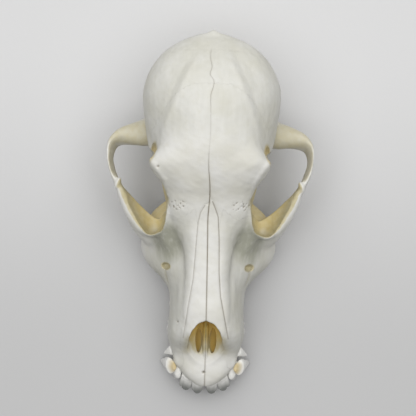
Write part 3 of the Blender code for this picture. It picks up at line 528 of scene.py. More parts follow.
def fused(name, forms, grain, passes):
    """Overlapping closed forms made one skin of even grain, blended by smoothing passes."""
    work = bmesh.new()
    for form in forms:
        work.from_mesh(form.data)
    mesh = bpy.data.meshes.new(name)
    work.to_mesh(mesh)
    work.free()
    remove(forms)
    made = bpy.data.objects.new(name, mesh)
    bpy.context.scene.collection.objects.link(made)
    fuse = made.modifiers.new("Fuse", "REMESH")
    fuse.mode = "VOXEL"
    fuse.voxel_size = grain * MM
    smooth(made, passes)
    apply_modifiers(made)
    return made


def boolean(target, operation, cutter):
    """One Boolean with another object, applied."""
    step = target.modifiers.new(operation.title(), "BOOLEAN")
    step.operation = operation
    step.object = cutter
    step.solver = "MANIFOLD"
    apply_modifiers(target)
    if len(target.data.polygons) == 0:
        raise RuntimeError(f"nothing is left of {target.name} after {operation}")


def hollow_out(target, forms):
    """Forms taken out of the bone one after another."""
    for form in forms:
        boolean(target, "DIFFERENCE", form)
        remove([form])


def keep_largest(target):
    """The largest closed surface of a mesh, without loose scraps."""
    mesh = target.data
    edges = np.empty(len(mesh.edges) * 2, dtype=np.int64)
    mesh.edges.foreach_get("vertices", edges)
    edges = edges.reshape(-1, 2)
    # Each point takes the lowest number among its neighbours, until a surface has one number.
    label = np.arange(len(mesh.vertices))
    while True:
        low = np.minimum(label[edges[:, 0]], label[edges[:, 1]])
        fresh = label.copy()
        np.minimum.at(fresh, edges[:, 0], low)
        np.minimum.at(fresh, edges[:, 1], low)
        fresh = fresh[fresh]
        if np.array_equal(fresh, label):
            break
        label = fresh
    surfaces, counts = np.unique(label, return_counts=True)
    if len(surfaces) == 1:
        return
    largest = surfaces[np.argmax(counts)]
    work = bmesh.new()
    work.from_mesh(mesh)
    loose = [vertex for vertex, surface in zip(work.verts, label) if surface != largest]
    bmesh.ops.delete(work, geom=loose, context="VERTS")
    work.to_mesh(mesh)
    work.free()


def points_of(mesh):
    """A mesh's points, in millimetres, and their normals."""
    points = np.empty(len(mesh.vertices) * 3)
    mesh.vertices.foreach_get("co", points)
    normals = np.empty(len(mesh.vertices) * 3)
    mesh.vertex_normals.foreach_get("vector", normals)
    return points.reshape(-1, 3) / MM, normals.reshape(-1, 3)


def move_points(mesh, points):
    """A mesh's points set to new places in millimetres."""
    mesh.vertices.foreach_set("co", (points * MM).ravel())
    mesh.update()


def smooth_slope(target, region, reach, grain):
    """Both sides of the bone smoothed over a longer reach within a region."""
    points, normals = points_of(target.data)
    weights = Skin(points, normals).around(region, 0.65, 1.0)
    group = target.vertex_groups.new(name="slope")
    for index in np.nonzero(weights)[0]:
        group.add([int(index)], float(weights[index]), "REPLACE")
    smooth(target, passes_for(reach, grain), group.name)
    apply_modifiers(target)
    target.vertex_groups.clear()


def cranium_forms():
    """The bone's outer forms, still as separate closed skins."""
    muzzle_widest = [(y, base + MUZZLE_WIDEST_OVER_BASE) for y, base in MUZZLE_BASE]
    forms = [
        section_form("vault", VAULT_SPAN, VAULT_HALF_WIDTH, VAULT_TOP, VAULT_WIDEST, VAULT_BASE,
                     VAULT_POWER),
        section_form("roof", ROOF_SPAN, ROOF_HALF_WIDTH, ROOF_TOP, ROOF_RIM, ROOF_UNDER),
        section_form("septum", SEPTUM_SPAN, SEPTUM_HALF_WIDTH, SEPTUM_TOP, SEPTUM_WIDEST, SEPTUM_BASE),
        section_form("muzzle", MUZZLE_SPAN, MUZZLE_HALF_WIDTH, MUZZLE_TOP, muzzle_widest, MUZZLE_BASE,
                     MUZZLE_POWER),
        bar("nape_point", NAPE_POINT),
    ]
    return forms + both_sides([
        bar("arch", ARCH, steps=110),
        bar("orbit_rim", ORBIT_RIM),
        bar("bridge_side", BRIDGE_SIDE),
        bar("tear_bridge", TEAR_BRIDGE),
        ball("canine_bulge", CANINE_BULGE),
        ball("tear_wall", TEAR_WALL),
        ball("cheek_knob", CHEEK_KNOB),
        bar("neck_process", NECK_PROCESS, upright=False),
        bar("pterygoid", PTERYGOID),
        bar("jaw_stop", JAW_STOP, upright=False),
        ball("ear_base", EAR_BASE),
        ball("condyle", CONDYLE),
        bar("nape_crest", NAPE_CREST),
    ])


def hollow_forms():
    """The openings and hollows, as closed skins that are taken out of the bone."""
    middle = [(y, 0.5 * (roof + line_at(NOSE_FLOOR, y))) for y, roof in NOSE_ROOF]
    window = APERTURE + tuple((-x, y) for x, y in reversed(APERTURE[1:-1]))
    forms = [
        section_form("nose_hollow", NOSE_SPAN, NOSE_HALF_WIDTH, NOSE_ROOF, middle, NOSE_FLOOR),
        outline_solid("aperture", ("top", window, APERTURE_HEIGHTS), 0.0, 1),
        ball("throat", THROAT),
        ball("palate_vault", PALATE_VAULT),
        ball("spinal_opening", SPINAL_OPENING),
    ]
    return forms + both_sides([
        bar("orbit", ORBIT_HOLLOW, steps=90, sides=72),
        ball("temple_pit", TEMPLE_PIT),
        ball("ear_opening", EAR_OPENING),
        ball("cheek_canal", CHEEK_CANAL),
        ball("jaw_socket", JAW_SOCKET),
    ])


def nose_forms():
    """The wall and the thin scrolls inside the nose."""
    return [bar("nose_wall", NOSE_WALL)] + both_sides([bar("nose_scroll", NOSE_SCROLL),
                                                       bar("nose_shelf", NOSE_SHELF)])


def outline_solid(name, shape, grow, side):
    """A solid of one outline, grown outwards all round, for the animal's left or right side."""
    view, outline, (low, high) = shape
    points = np.array(outline, dtype=float)
    area = np.sum(points[:, 0] * np.roll(points[:, 1], -1) - points[:, 1] * np.roll(points[:, 0], -1))
    before = points - np.roll(points, 1, axis=0)
    before /= np.linalg.norm(before, axis=1)[:, None]
    after = np.roll(before, -1, axis=0)
    turn = math.copysign(1.0, area)
    sides = [np.stack([step[:, 1], -step[:, 0]], axis=-1) * turn for step in (before, after)]
    mitre = sides[0] + sides[1]
    mitre /= np.linalg.norm(mitre, axis=1)[:, None]
    share = np.maximum(np.sum(mitre * sides[1], axis=1), MITRE_LIMIT)
    points = points + mitre * (grow / share)[:, None]
    rings = []
    for level in (low - grow, high + grow):
        column = np.full((len(points), 1), level)
        rings.append(np.hstack([points, column] if view == "top" else [column, points]))
    made = loft(name, rings)
    if side < 0:
        made.data.transform(Matrix.Scale(-1, 4, (1, 0, 0)))
        made.data.flip_normals()
    return made


def toothed(points, depth, pitch, seed, closed=True):
    """An outline whose long stretches run in small teeth, as a suture does."""
    draw = np.random.RandomState(seed)
    result = []
    ends = list(points[1:]) + ([points[0]] if closed else [])
    for start, end in zip(points, ends):
        start = np.array(start, dtype=float)
        along = np.array(end, dtype=float) - start
        length = np.linalg.norm(along)
        across = np.array((along[1], -along[0])) / length
        result.append(tuple(start))
        count = int(length / pitch)
        for step in range(1, count):
            swing = depth * draw.uniform(LEAST_SWING, 1.0) * (1 if step % 2 else -1)
            result.append(tuple(start + along * step / count + across * swing))
    if not closed:
        result.append(tuple(points[-1]))
    return tuple(result)


def half_outline(shape, side, depth, seed):
    """A paired bone's outline: toothed, and closed along the midline or over it on the right."""
    view, outline, heights = shape
    edge = list(toothed(outline, depth, HALF_PITCH, seed, closed=False))
    first, last = outline[0][1], outline[-1][1]
    if side > 0:
        steps = np.linspace(last, first, max(int(abs(last - first) / MIDLINE_STEP), 2))
        swing = MIDLINE_SWING * depth
        middle = [(float(line_at(MIDLINE, y)) + swing * math.sin(9 * y), float(y)) for y in steps]
        edge = edge[1:-1] + middle
    else:
        past, over = PAST_MIDLINE
        edge = edge + [(past, last + over), (past, first - over)]
    return view, tuple(edge), heights


def take_bone(cranium, name, shape, side, gap):
    """One bone taken out of the cranium along its sutures, which stay open by a hair."""
    bone = bpy.data.objects.new(name, cranium.data.copy())
    bpy.context.scene.collection.objects.link(bone)
    inner = outline_solid("bone_outline", shape, 0.0, side)
    outer = outline_solid("bone_space", shape, gap, side)
    boolean(bone, "INTERSECT", inner)
    boolean(cranium, "DIFFERENCE", outer)
    remove([inner, outer])
    keep_largest(bone)
    return bone


class Skin:
    """Points of the bone in millimetres and their normals, also as mirrored onto the left side."""

    def __init__(self, points, normals):
        self.points = points
        self.normals = normals
        flip = np.where(points[:, :1] < 0, MIRROR, (1, 1, 1))
        self.mirrored = points * flip
        self.facing = normals * flip
        self.x, self.y, self.z = self.mirrored.T
        self.from_middle = points[:, 0] - line_at(MIDLINE, self.y)

    def line(self, path, height, width):
        """A soft ridge, groove or line of colour along a path."""
        return height * np.exp(-(path_distance(self.mirrored, path) / width) ** 2)

    def upward(self, low, high):
        """Bone that faces up, from 0 at one height of the normal to 1 at another."""
        return ramp(self.normals[:, 2], low, high)

    def around(self, region, near, far):
        """Bone in a region, from 1 at the near share of its reach to 0 at the far one."""
        return 1 - ramp(region_share(self.mirrored, region), near, far)

    def inside(self, region, edge=0.12):
        """Bone in a region that faces its middle, as the walls of a hollow do."""
        offset = np.array(region[0]) - self.mirrored
        turned = np.sum(offset * self.facing, axis=1) / np.linalg.norm(offset, axis=1)
        return self.around(region, 1.0, 1.0 + edge) * ramp(turned, 0.1, 0.45)

    def nasal_sutures(self, first):
        """Distances from the left and right nasal bones' edges, from one of their corners on."""
        return (path_distance(self.points, NASAL_LEFT[1][first:-1]),
                path_distance(self.points * MIRROR, NASAL_RIGHT[1][first:-1]))

    def outside_temple(self):
        """Distance outwards from the temporal line."""
        return self.x - line_at(TEMPLE_LINE, np.clip(self.y, TEMPLE_LINE[0][0], TEMPLE_LINE[-1][0]))

    def depth(self):
        """Depth under the line of the muzzle's top."""
        return line_at(MUZZLE_TOP, np.clip(self.y, *MUZZLE_SPAN)) - self.z

    def nerve_holes(self):
        """Distances from the nerve holes, with their radii and depths."""
        return [(np.hypot(self.points[:, 0] - place[0], self.points[:, 1] - place[1]), radius, depth)
                for place, radius, depth in NERVE_HOLES]

    def pitted(self):
        """Where the bone behind the orbit's rim is pitted by small vessels."""
        (x, y), (half_width, half_length) = PITTED
        away = np.hypot((self.x - x) / half_width, (self.y - y) / half_length)
        return (1 - ramp(away, 0.5, 1.1)) * ramp(self.z, 34, 37)

    def pits(self, low, high):
        """The pits themselves, as the crests of small swells."""
        return ramp(waves(self.points, PIT_LENGTH, SEED + 5), low, high) * self.pitted()


def temple_relief(skin):
    """A low ridge where the chewing muscle ended, and the hollow outside it."""
    outside = skin.outside_temple()
    shown = ramp(skin.y, 17, 23) * (1 - ramp(skin.y, 58, 68)) * ramp(skin.z, 34, 40)
    depth, deepens, runs_out = TEMPLE_HOLLOW
    height, place, width = TEMPLE_RIDGE
    hollow = depth * ramp(outside, *deepens) * (1 - ramp(outside, *runs_out))
    ridge = height * np.exp(-((outside - place) / width) ** 2)
    return (ridge - hollow) * shown


def forehead_relief(skin):
    """The furrow of the forehead, the raised edge of the brow and the vessel pits."""
    depth, middle, length, width = FURROW
    furrow = depth * np.exp(-((skin.y - middle) / length) ** 2) * np.exp(-(skin.x / width) ** 2)
    brow = skin.line(*BROW_EDGE) * ramp(skin.z, 34, 38)
    return brow - furrow * skin.upward(0.1, 0.5) - PIT_DEPTH * skin.pits(0.3, 1.0)


def nose_relief(skin):
    """Grooves along the sutures of the nose, and its thinned lip."""
    edge = np.minimum(*skin.nasal_sutures(0))
    sides = np.exp(-(edge / GROOVE_WIDTH) ** 2) * ramp(skin.z, 31, 34)
    middle = np.exp(-(skin.from_middle / GROOVE_WIDTH) ** 2) * (1 - ramp(skin.y, 16, 24))
    lip = skin.line(*NOSE_LIP) * (1 - ramp(skin.y, -52, -49))
    return (lip - NASAL_GROOVE * sides - MIDLINE_GROOVE * middle) * skin.upward(0.1, 0.5)


def relief(skin):
    """Height that each point of the bone is raised, in millimetres."""
    rise = temple_relief(skin) + forehead_relief(skin) + nose_relief(skin)
    rise += skin.line(*CANINE_ROOT) + skin.line(*CHEEK_GROOVE)
    for away, radius, depth in skin.nerve_holes():
        rise -= depth * np.exp(-(away / radius) ** 2) * skin.upward(0.1, 0.5)
    for seed, (length, height) in enumerate((BONE_SWELL, BONE_RIPPLE), SEED):
        rise += height * waves(skin.points, length, seed)
    return rise


def carve(cranium):
    """Fine relief pressed into the fused bone."""
    points, normals = points_of(cranium.data)
    points += normals * relief(Skin(points, normals))[:, None]
    move_points(cranium.data, points)


def strongest(*layers):
    """The strongest of several layers of (strength, share) at each point."""
    return np.maximum.reduce([strength * share for strength, share in layers])


def orbit_share(skin):
    """Bone in the orbit, its walls, its front and its floor, that takes ochre and painted shade."""
    return strongest((1.0, skin.inside(ORBIT_REACH, 0.3)), (1.0, skin.inside(ORBIT_FRONT, 0.3)),
                     (0.9, skin.around(ORBIT_FLOOR, 0.85, 1.05)))


def slot_share(skin):
    """The slots that open behind the front teeth, whose insides take ochre and amber as painted shade."""
    return skin.around(SLOT_REACH, 0.8, 1.0) * (1 - ramp(skin.z, 15.0, 17.4))


def nose_share(skin):
    """Bone inside the nose that takes ochre, amber and painted shade."""
    return ramp(skin.depth(), 1.4, 4.6) * skin.around(NOSE_REACH, 0.9, 1.02) * (skin.z > 12.0)


def arch_top_share(skin):
    """The thin top of the cheek arch's rear root."""
    return skin.around(ARCH_ROOT, 0.7, 1.15) * skin.upward(0.0, 0.6)


def ochre_share(skin):
    """Ochre where the fat was never quite drawn from the bone, with painted shade in the openings, on the
    arch's inner face and on bone that faces down.
    """
    lip = skin.line(*LIP_TINT) * ramp(skin.y, -62, -54) * (1 - ramp(skin.y, -50, -46))
    # Painted shade: the cheek arch's inward face and the low bone that faces down are tinted ochre as their
    # shade.
    arch_inside = ramp(-skin.facing[:, 0], 0.1, 0.7) * ramp(skin.x, 27, 32)
    below = ramp(-skin.normals[:, 2], 0.0, 0.6) * (1 - ramp(skin.z, 12, 26))
    return strongest(
        (0.95, orbit_share(skin)), (0.9, nose_share(skin)), (1.0, slot_share(skin)), (1.0, lip),
        (0.75, skin.around(TEMPLE_PIT, 1.05, 1.5)), (0.8, skin.around(CHEEK_CANAL, 1.0, 1.4)),
        (1.0, skin.line(*CANAL_TINT)), (0.62, arch_top_share(skin)), (0.5, arch_inside), (0.3, below),
        (1.0, skin.inside(THROAT)), (1.0, skin.inside(SPINAL_OPENING)), (1.0, skin.inside(EAR_OPENING)))


def amber_share(skin):
    """Bone deep in the openings, warmest in tone: the fat's colour, and painted warm shade that deepens with
    the depth.
    """
    deep_nose = ramp(skin.depth(), 4.0, 10.0) * nose_share(skin) * ramp(skin.y, -56, -46)
    deep_orbit = orbit_share(skin) * (1 - ramp(skin.z, 20, 27))
    return strongest(
        (1.0, deep_nose), (0.3, deep_orbit), (1.0, slot_share(skin)),
        (0.35, skin.around(TEMPLE_PIT, 1.0, 1.2)), (0.8, skin.inside(EAR_OPENING)),
        (0.5, skin.inside(SPINAL_OPENING)))


def grey_share(skin):
    """Greyer where thin bone lies over hollows, and painted shade on steep slopes and in the hollow before
    the orbit.
    """
    # Painted shade: steep slopes are greyed where the light falls on them slantwise.
    steep = 1 - skin.upward(0.45, 0.92)
    cheek = ramp(skin.x, 21.0, 27.0)
    beside = skin.x - line_at(NASAL_EDGE, np.clip(skin.y, NASAL_EDGE[0][0], NASAL_EDGE[-1][0]))
    muzzle = (1 - ramp(skin.y, -4, 6)) * ramp(skin.y, -62, -50) * ramp(beside, 0.6, 4.6)
    muzzle *= 1 - 0.8 * cheek
    # Painted shade: the hollow before the orbit is greyed as its shade.
    fossa = skin.around(FOSSA, 0.4, 1.2) * (1 - 0.7 * cheek)
    vault = ramp(skin.y, 25, 36)
    temple = ramp(skin.outside_temple(), -1.0, 1.6) * vault * ramp(skin.z, 30, 38)
    thin = strongest((0.24, steep * (1 - cheek)), (0.34, muzzle), (1.0, fossa), (0.24, vault),
                     (0.26, temple), (0.25, arch_top_share(skin)))
    return thin * (1 - skin.around(NOSE_REACH, 0.9, 1.02))


def stain_share(skin):
    """Dirt held in the sutures, and painted shade darkening the vessel pits and the nerve holes."""
    sutures = [(strength, np.exp(-(away / STAIN_WIDTH) ** 2) * (skin.z > 30))
               for strength, away in zip(SUTURE_STAIN, skin.nasal_sutures(1))]
    middle = np.interp(skin.y, *zip(*MIDLINE_STAIN)) * np.exp(-(skin.from_middle / STAIN_WIDTH) ** 2)
    # Painted shade: the nerve holes and vessel pits are darkened as the shade inside them.
    holes = [(0.9, np.exp(-(away / (0.7 * radius)) ** 2)) for away, radius, _ in skin.nerve_holes()]
    stain = strongest((1.0, middle), (0.6, skin.pits(0.5, 1.1)), *sutures, *holes)
    return stain * skin.upward(0.0, 0.4) * ramp(skin.z, 14, 17)


def tint(mesh, points, normals):
    """How ochre, amber, grey and stained each point of the bone is, painted shade among them, kept on the
    mesh.
    """
    skin = Skin(points, normals)
    set_values(mesh, ochre=ochre_share(skin), amber=amber_share(skin), grey=grey_share(skin),
               stain=stain_share(skin))


def set_values(mesh, **values):
    """Number fields kept on the mesh's points."""
    for name, numbers in values.items():
        field = mesh.attributes.new(name, "FLOAT", "POINT")
        field.data.foreach_set("value", np.asarray(numbers, dtype=np.float32))


def finish_piece(piece, material, *nodes):
    """A finished piece: smooth, with its material, riding on the skull in the place of its nodes."""
    mesh = piece.data
    mesh.shade_smooth()
    mesh.set_sharp_from_angle(angle=math.radians(SHARP_ANGLE))
    mesh.materials.clear()
    mesh.materials.append(material)
    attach(piece, "root")
    if nodes:
        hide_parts(*nodes)


def add(tree, kind, inputs, output=None, **settings):
    """Add a node with its settings and links, and give its named output or the one in use."""
    node = tree.nodes.new(kind)
    for name, value in settings.items():
        setattr(node, name, value)
    sockets = {socket.identifier: socket for socket in node.inputs}
    for name, value in inputs.items():
        if isinstance(value, bpy.types.NodeSocket):
            tree.links.new(value, sockets[name])
        else:
            sockets[name].default_value = value
    return next(one for one in node.outputs if one.enabled and output in (None, one.name))


def new_material(name):
    """An empty material with its nodes, its shader's inputs and the place on the object."""
    material = bpy.data.materials.new(name)
    material.use_nodes = True
    tree = material.node_tree
    place = add(tree, "ShaderNodeTexCoord", {}, "Object")
    return material, tree, tree.nodes["Principled BSDF"].inputs, place


def layered(tree, ground, layers):
    """A ground colour with further colours laid over it by their shares."""
    colour = opaque(ground)
    for share, tone in layers:
        colour = add(tree, "ShaderNodeMix", {"Factor_Float": share, "A_Color": colour,
                                             "B_Color": opaque(tone)}, data_type="RGBA")
    return colour


def opaque(colour):
    """A colour with its alpha."""
    return tuple(colour) + (1.0,)


def scale_of(width):
    """Scale that makes a pattern's features as wide as a number of millimetres."""
    return 1 / (width * MM)


def bone_material(colours):
    """Macerated bone whitened in peroxide: chalky white, ochre where fat stayed and grey where it is thin,
    with painted shade laid in the openings, hollows and pits and on steep or downward slopes.
    """
    material, tree, shader, place = new_material("bleached_bone")
    ochre, amber, grey, stain = (add(tree, "ShaderNodeAttribute", {}, "Fac", attribute_name=name)
                                 for name in ("ochre", "amber", "grey", "stain"))
    # Clouds of colour about 14 mm across, and flecks of about 2 mm, left by the drying fat.
    clouds = add(tree, "ShaderNodeTexNoise", {"Vector": place, "Scale": scale_of(CLOUD_WIDTH),
                                              "Detail": 3.0}, "Fac")
    flecks = add(tree, "ShaderNodeTexNoise", {"Vector": place, "Scale": scale_of(FLECK_WIDTH),
                                              "Detail": 2.0}, "Fac")
    cloudy = add(tree, "ShaderNodeMapRange", {"Value": clouds, "From Min": 0.40, "From Max": 0.72})
    flecked = add(tree, "ShaderNodeMapRange", {"Value": flecks, "From Min": 0.50, "From Max": 0.85,
                                               "To Max": 0.6})
    # Streaks nearly 2 mm wide that run lengthwise, where muscle lay on the thin bone.
    drawn = add(tree, "ShaderNodeMapping", {"Vector": place, "Scale": (1.0, STREAK_DRAW, 1.0)})
    streaks = add(tree, "ShaderNodeTexNoise", {"Vector": drawn, "Scale": scale_of(STREAK_WIDTH),
                                               "Detail": 3.0}, "Fac")
    streaked = add(tree, "ShaderNodeMapRange", {"Value": streaks, "From Min": 0.3, "From Max": 0.7,
                                                "To Min": 0.75, "To Max": 1.25})
    thin = add(tree, "ShaderNodeMath", {"Value": grey, "Value_001": streaked},
               operation="MULTIPLY", use_clamp=True)
    uneven = add(tree, "ShaderNodeMapRange", {"Value": flecks, "From Min": 0.3, "From Max": 0.7,
                                              "To Min": 0.8, "To Max": 1.15})
    warm = add(tree, "ShaderNodeMath", {"Value": ochre, "Value_001": uneven},
               operation="MULTIPLY", use_clamp=True)
    # The ochre, amber, grey and stain layers carry painted shade as well as the bone's own colours.
    colour = layered(tree, colours.bone, ((cloudy, colours.ivory), (flecked, colours.ivory),
                                          (thin, colours.grey), (warm, colours.ochre),
                                          (amber, colours.amber), (stain, colours.stain)))
    tree.links.new(colour, shader["Base Color"])
    # Pores of 0.3 mm would not show at this size, so the grain of the surface is drawn 0.9 mm wide.
    grain = add(tree, "ShaderNodeTexNoise", {"Vector": place, "Scale": scale_of(GRAIN_WIDTH),
                                             "Detail": 4.0}, "Fac")
    bump = add(tree, "ShaderNodeBump", {"Height": grain, "Strength": 0.22, "Distance": 0.25 * MM})
    tree.links.new(bump, shader["Normal"])
    # Chalkier in the clouds, and a little smoother between them.
    rough = add(tree, "ShaderNodeMapRange", {"Value": clouds, "To Min": 0.44, "To Max": 0.62})
    tree.links.new(rough, shader["Roughness"])
    shader["IOR"].default_value = 1.5
    shader["Specular IOR Level"].default_value = 0.4
    return material


def enamel_material(colours):
    """Tooth enamel, grown smooth: white, with painted shade greying the tips, and a stained neck of dentine.
    """
    material, tree, shader, place = new_material("tooth_enamel")
    neck, glass = (add(tree, "ShaderNodeAttribute", {}, "Fac", attribute_name=name)
                   for name in ("neck", "glass"))
    # Haze about 2.4 mm wide lets the edge of the enamel wander.
    haze = add(tree, "ShaderNodeTexNoise", {"Vector": place, "Scale": scale_of(HAZE_WIDTH),
                                            "Detail": 2.0}, "Fac")
    wander = add(tree, "ShaderNodeMath", {"Value": haze, "Value_001": 0.4, "Value_002": neck},
                 operation="MULTIPLY_ADD")
    bare = add(tree, "ShaderNodeMapRange", {"Value": wander, "From Min": 0.3, "From Max": 1.2})
    colour = layered(tree, colours.enamel, ((glass, colours.tip), (bare, colours.neck)))
    tree.links.new(colour, shader["Base Color"])
    # Enamel shines, the bare neck is duller.
    rough = add(tree, "ShaderNodeMapRange", {"Value": bare, "To Min": 0.22, "To Max": 0.5})
    tree.links.new(rough, shader["Roughness"])
    ripple = add(tree, "ShaderNodeBump", {"Height": haze, "Strength": 0.10, "Distance": 0.2 * MM})
    tree.links.new(ripple, shader["Normal"])
    shader["IOR"].default_value = 1.62
    return material


def floor_material(colours):
    """Matt paper sweep, with painted light falloff and shadow: pale behind the skull, greyer in front of it.
    """
    material, tree, shader, place = new_material("matt_paper")
    along = add(tree, "ShaderNodeSeparateXYZ", {"Vector": place}, "Y")
    grade = add(tree, "ShaderNodeMapRange", {"Value": along, "From Min": 80 * MM, "From Max": -70 * MM},
                interpolation_type="SMOOTHSTEP")
    colour = layered(tree, colours.paper, ((grade, colours.paper_front),))
    # The paper's fibres are too fine to show, so its grain is drawn 1.1 mm wide.
    grain = add(tree, "ShaderNodeTexNoise", {"Vector": place, "Scale": scale_of(PAPER_GRAIN),
                                             "Detail": 2.0}, "Fac")
    fibre = add(tree, "ShaderNodeMapRange", {"Value": grain, "To Min": 0.99, "To Max": 1.01})
    colour = add(tree, "ShaderNodeMix", {"Factor_Float": 1.0, "A_Color": colour, "B_Color": fibre},
                 data_type="RGBA", blend_type="MULTIPLY")
    tree.links.new(colour, shader["Base Color"])
    bump = add(tree, "ShaderNodeBump", {"Height": grain, "Strength": 0.05, "Distance": 0.2 * MM})
    tree.links.new(bump, shader["Normal"])
    shader["Roughness"].default_value = 0.9
    return material


def crown(cusp, tip, rings=20, sides=28):
    """One cusp: a curved cone, blade or chisel, with its root sunk in the bone above the gum."""
    x, y, z, half_length, half_breadth, lean_x, lean_y, drop, heading = cusp
    along = np.array((math.sin(math.radians(heading)), math.cos(math.radians(heading)), 0))
    across = np.array((along[1], -along[0], 0))
    turns = np.linspace(0, 2 * math.pi, sides, endpoint=False)
    made = []
    for depth in np.linspace(-ROOT_DEPTH / drop, 1.0, rings):
        crown_share = max(depth, 0.0)
        root_share = min(max(-depth * drop / ROOT_DEPTH, 0.0), 1.0)
        lean = ROOT_LEAN * depth if depth < 0 else depth ** LEAN_LATE
        waist = 1.0 - 0.6 * root_share ** 1.3
        belly = 1.0 + BELLY * math.sin(math.pi * min(crown_share * 2.2, 1.0))
        rounding = math.sqrt(max(1.0 - max((depth - ROUND_FROM) / 0.11, 0.0) ** 2, 0.02))
        reach = [half * (waist - (1.0 - left) * crown_share ** NARROW_LATE) * belly * rounding
                 for half, left in zip((half_length, half_breadth), tip)]
        centre = np.array((x + lean_x * lean, y + lean_y * lean, z - drop * depth))
        made.append(centre + np.outer(np.cos(turns) * reach[0], along)
                    + np.outer(np.sin(turns) * reach[1], across))
    return loft("cusp", made)


class SkullSizes(bpy.types.PropertyGroup):
    """Sizes of the dressed skull"""
    form_grain: bpy.props.FloatProperty(
        name="Form grain", description="Mesh size while the bone's forms are fused",
        default=0.45 * MM, min=0.2 * MM, unit="LENGTH", precision=5)
    bone_grain: bpy.props.FloatProperty(
        name="Bone grain", description="Mesh size of the finished bone",
        default=0.34 * MM, min=0.2 * MM, unit="LENGTH", precision=5)
    tooth_grain: bpy.props.FloatProperty(
        name="Tooth grain", description="Mesh size of the finished teeth",
        default=0.16 * MM, min=0.08 * MM, unit="LENGTH", precision=5)
    blend: bpy.props.FloatProperty(
        name="Blend", description="Reach of the rounding between the fused forms",
        default=2.38 * MM, unit="LENGTH", precision=5)
    edge: bpy.props.FloatProperty(
        name="Edge", description="Reach of the rounding of the cut edges",
        default=0.95 * MM, unit="LENGTH", precision=5)
    suture: bpy.props.FloatProperty(
        name="Suture", description="Width of the open sutures",
        default=0.025 * MM, unit="LENGTH", precision=6)
    camera_height: bpy.props.FloatProperty(
        name="Camera height", description="Height of the camera over the floor",
        default=450 * MM, unit="LENGTH")
    view_width: bpy.props.FloatProperty(
        name="View width", description="Width of floor that the photo's frame takes in",
        default=182.5 * MM, unit="LENGTH")
    camera_turn: bpy.props.FloatProperty(
        name="Camera turn", description="Turn of the camera about its own axis",
        default=math.radians(1.5), subtype="ANGLE")


class SkullColours(bpy.types.PropertyGroup):
    """Colours of the dressed skull"""
    bone: bpy.props.FloatVectorProperty(
        name="Bone", description="Whitened bone", subtype="COLOR", default=linear("#DEDDD8"))
    ivory: bpy.props.FloatVectorProperty(
        name="Ivory", description="Bone where some fat has stayed", subtype="COLOR",
        default=linear("#D5D3C8"))
    # Grey: thin bone over hollows, also laid as painted shade on steep slopes and in the hollow before the
    # orbit.
    grey: bpy.props.FloatVectorProperty(
        name="Grey", description="Thin bone over hollows", subtype="COLOR", default=linear("#A9A99A"))
    # Ochre: the colour of fat left in the bone, also laid as painted shade in sheltered and downward-facing
    # places.
    ochre: bpy.props.FloatVectorProperty(
        name="Ochre", description="Sheltered bone", subtype="COLOR", default=linear("#BEB48E"))
    # Amber: the fat's colour deep in the openings, laid also as painted warm shade there.
    amber: bpy.props.FloatVectorProperty(
        name="Amber", description="Bone deep in openings", subtype="COLOR", default=linear("#E8CC78"))
    # Suture stain: dirt in the sutures, laid also as painted shade in the nerve holes and vessel pits.
    stain: bpy.props.FloatVectorProperty(
        name="Suture stain", description="Dirt held in sutures", subtype="COLOR", default=linear("#6C5E46"))
    enamel: bpy.props.FloatVectorProperty(
        name="Enamel", description="Crowns of the teeth", subtype="COLOR", default=linear("#F2F1EC"))
    # Enamel tip: grey laid on the crowns' lower ends as painted shade.
    tip: bpy.props.FloatVectorProperty(
        name="Enamel tip", description="Glassy tips of the teeth", subtype="COLOR",
        default=linear("#80827E"))
    neck: bpy.props.FloatVectorProperty(
        name="Tooth neck", description="Bare dentine at the gum line", subtype="COLOR",
        default=linear("#C2AE7C"))
    paper: bpy.props.FloatVectorProperty(
        name="Paper", description="Floor of the stage behind the skull", subtype="COLOR",
        default=linear("#D3D3D3"))
    # Paper front: the floor's grey in front of the nose is painted falloff of the light and the skull's
    # shadow.
    paper_front: bpy.props.FloatVectorProperty(
        name="Paper front", description="Floor of the stage in front of the nose", subtype="COLOR",
        default=linear("#BFBFBF"))


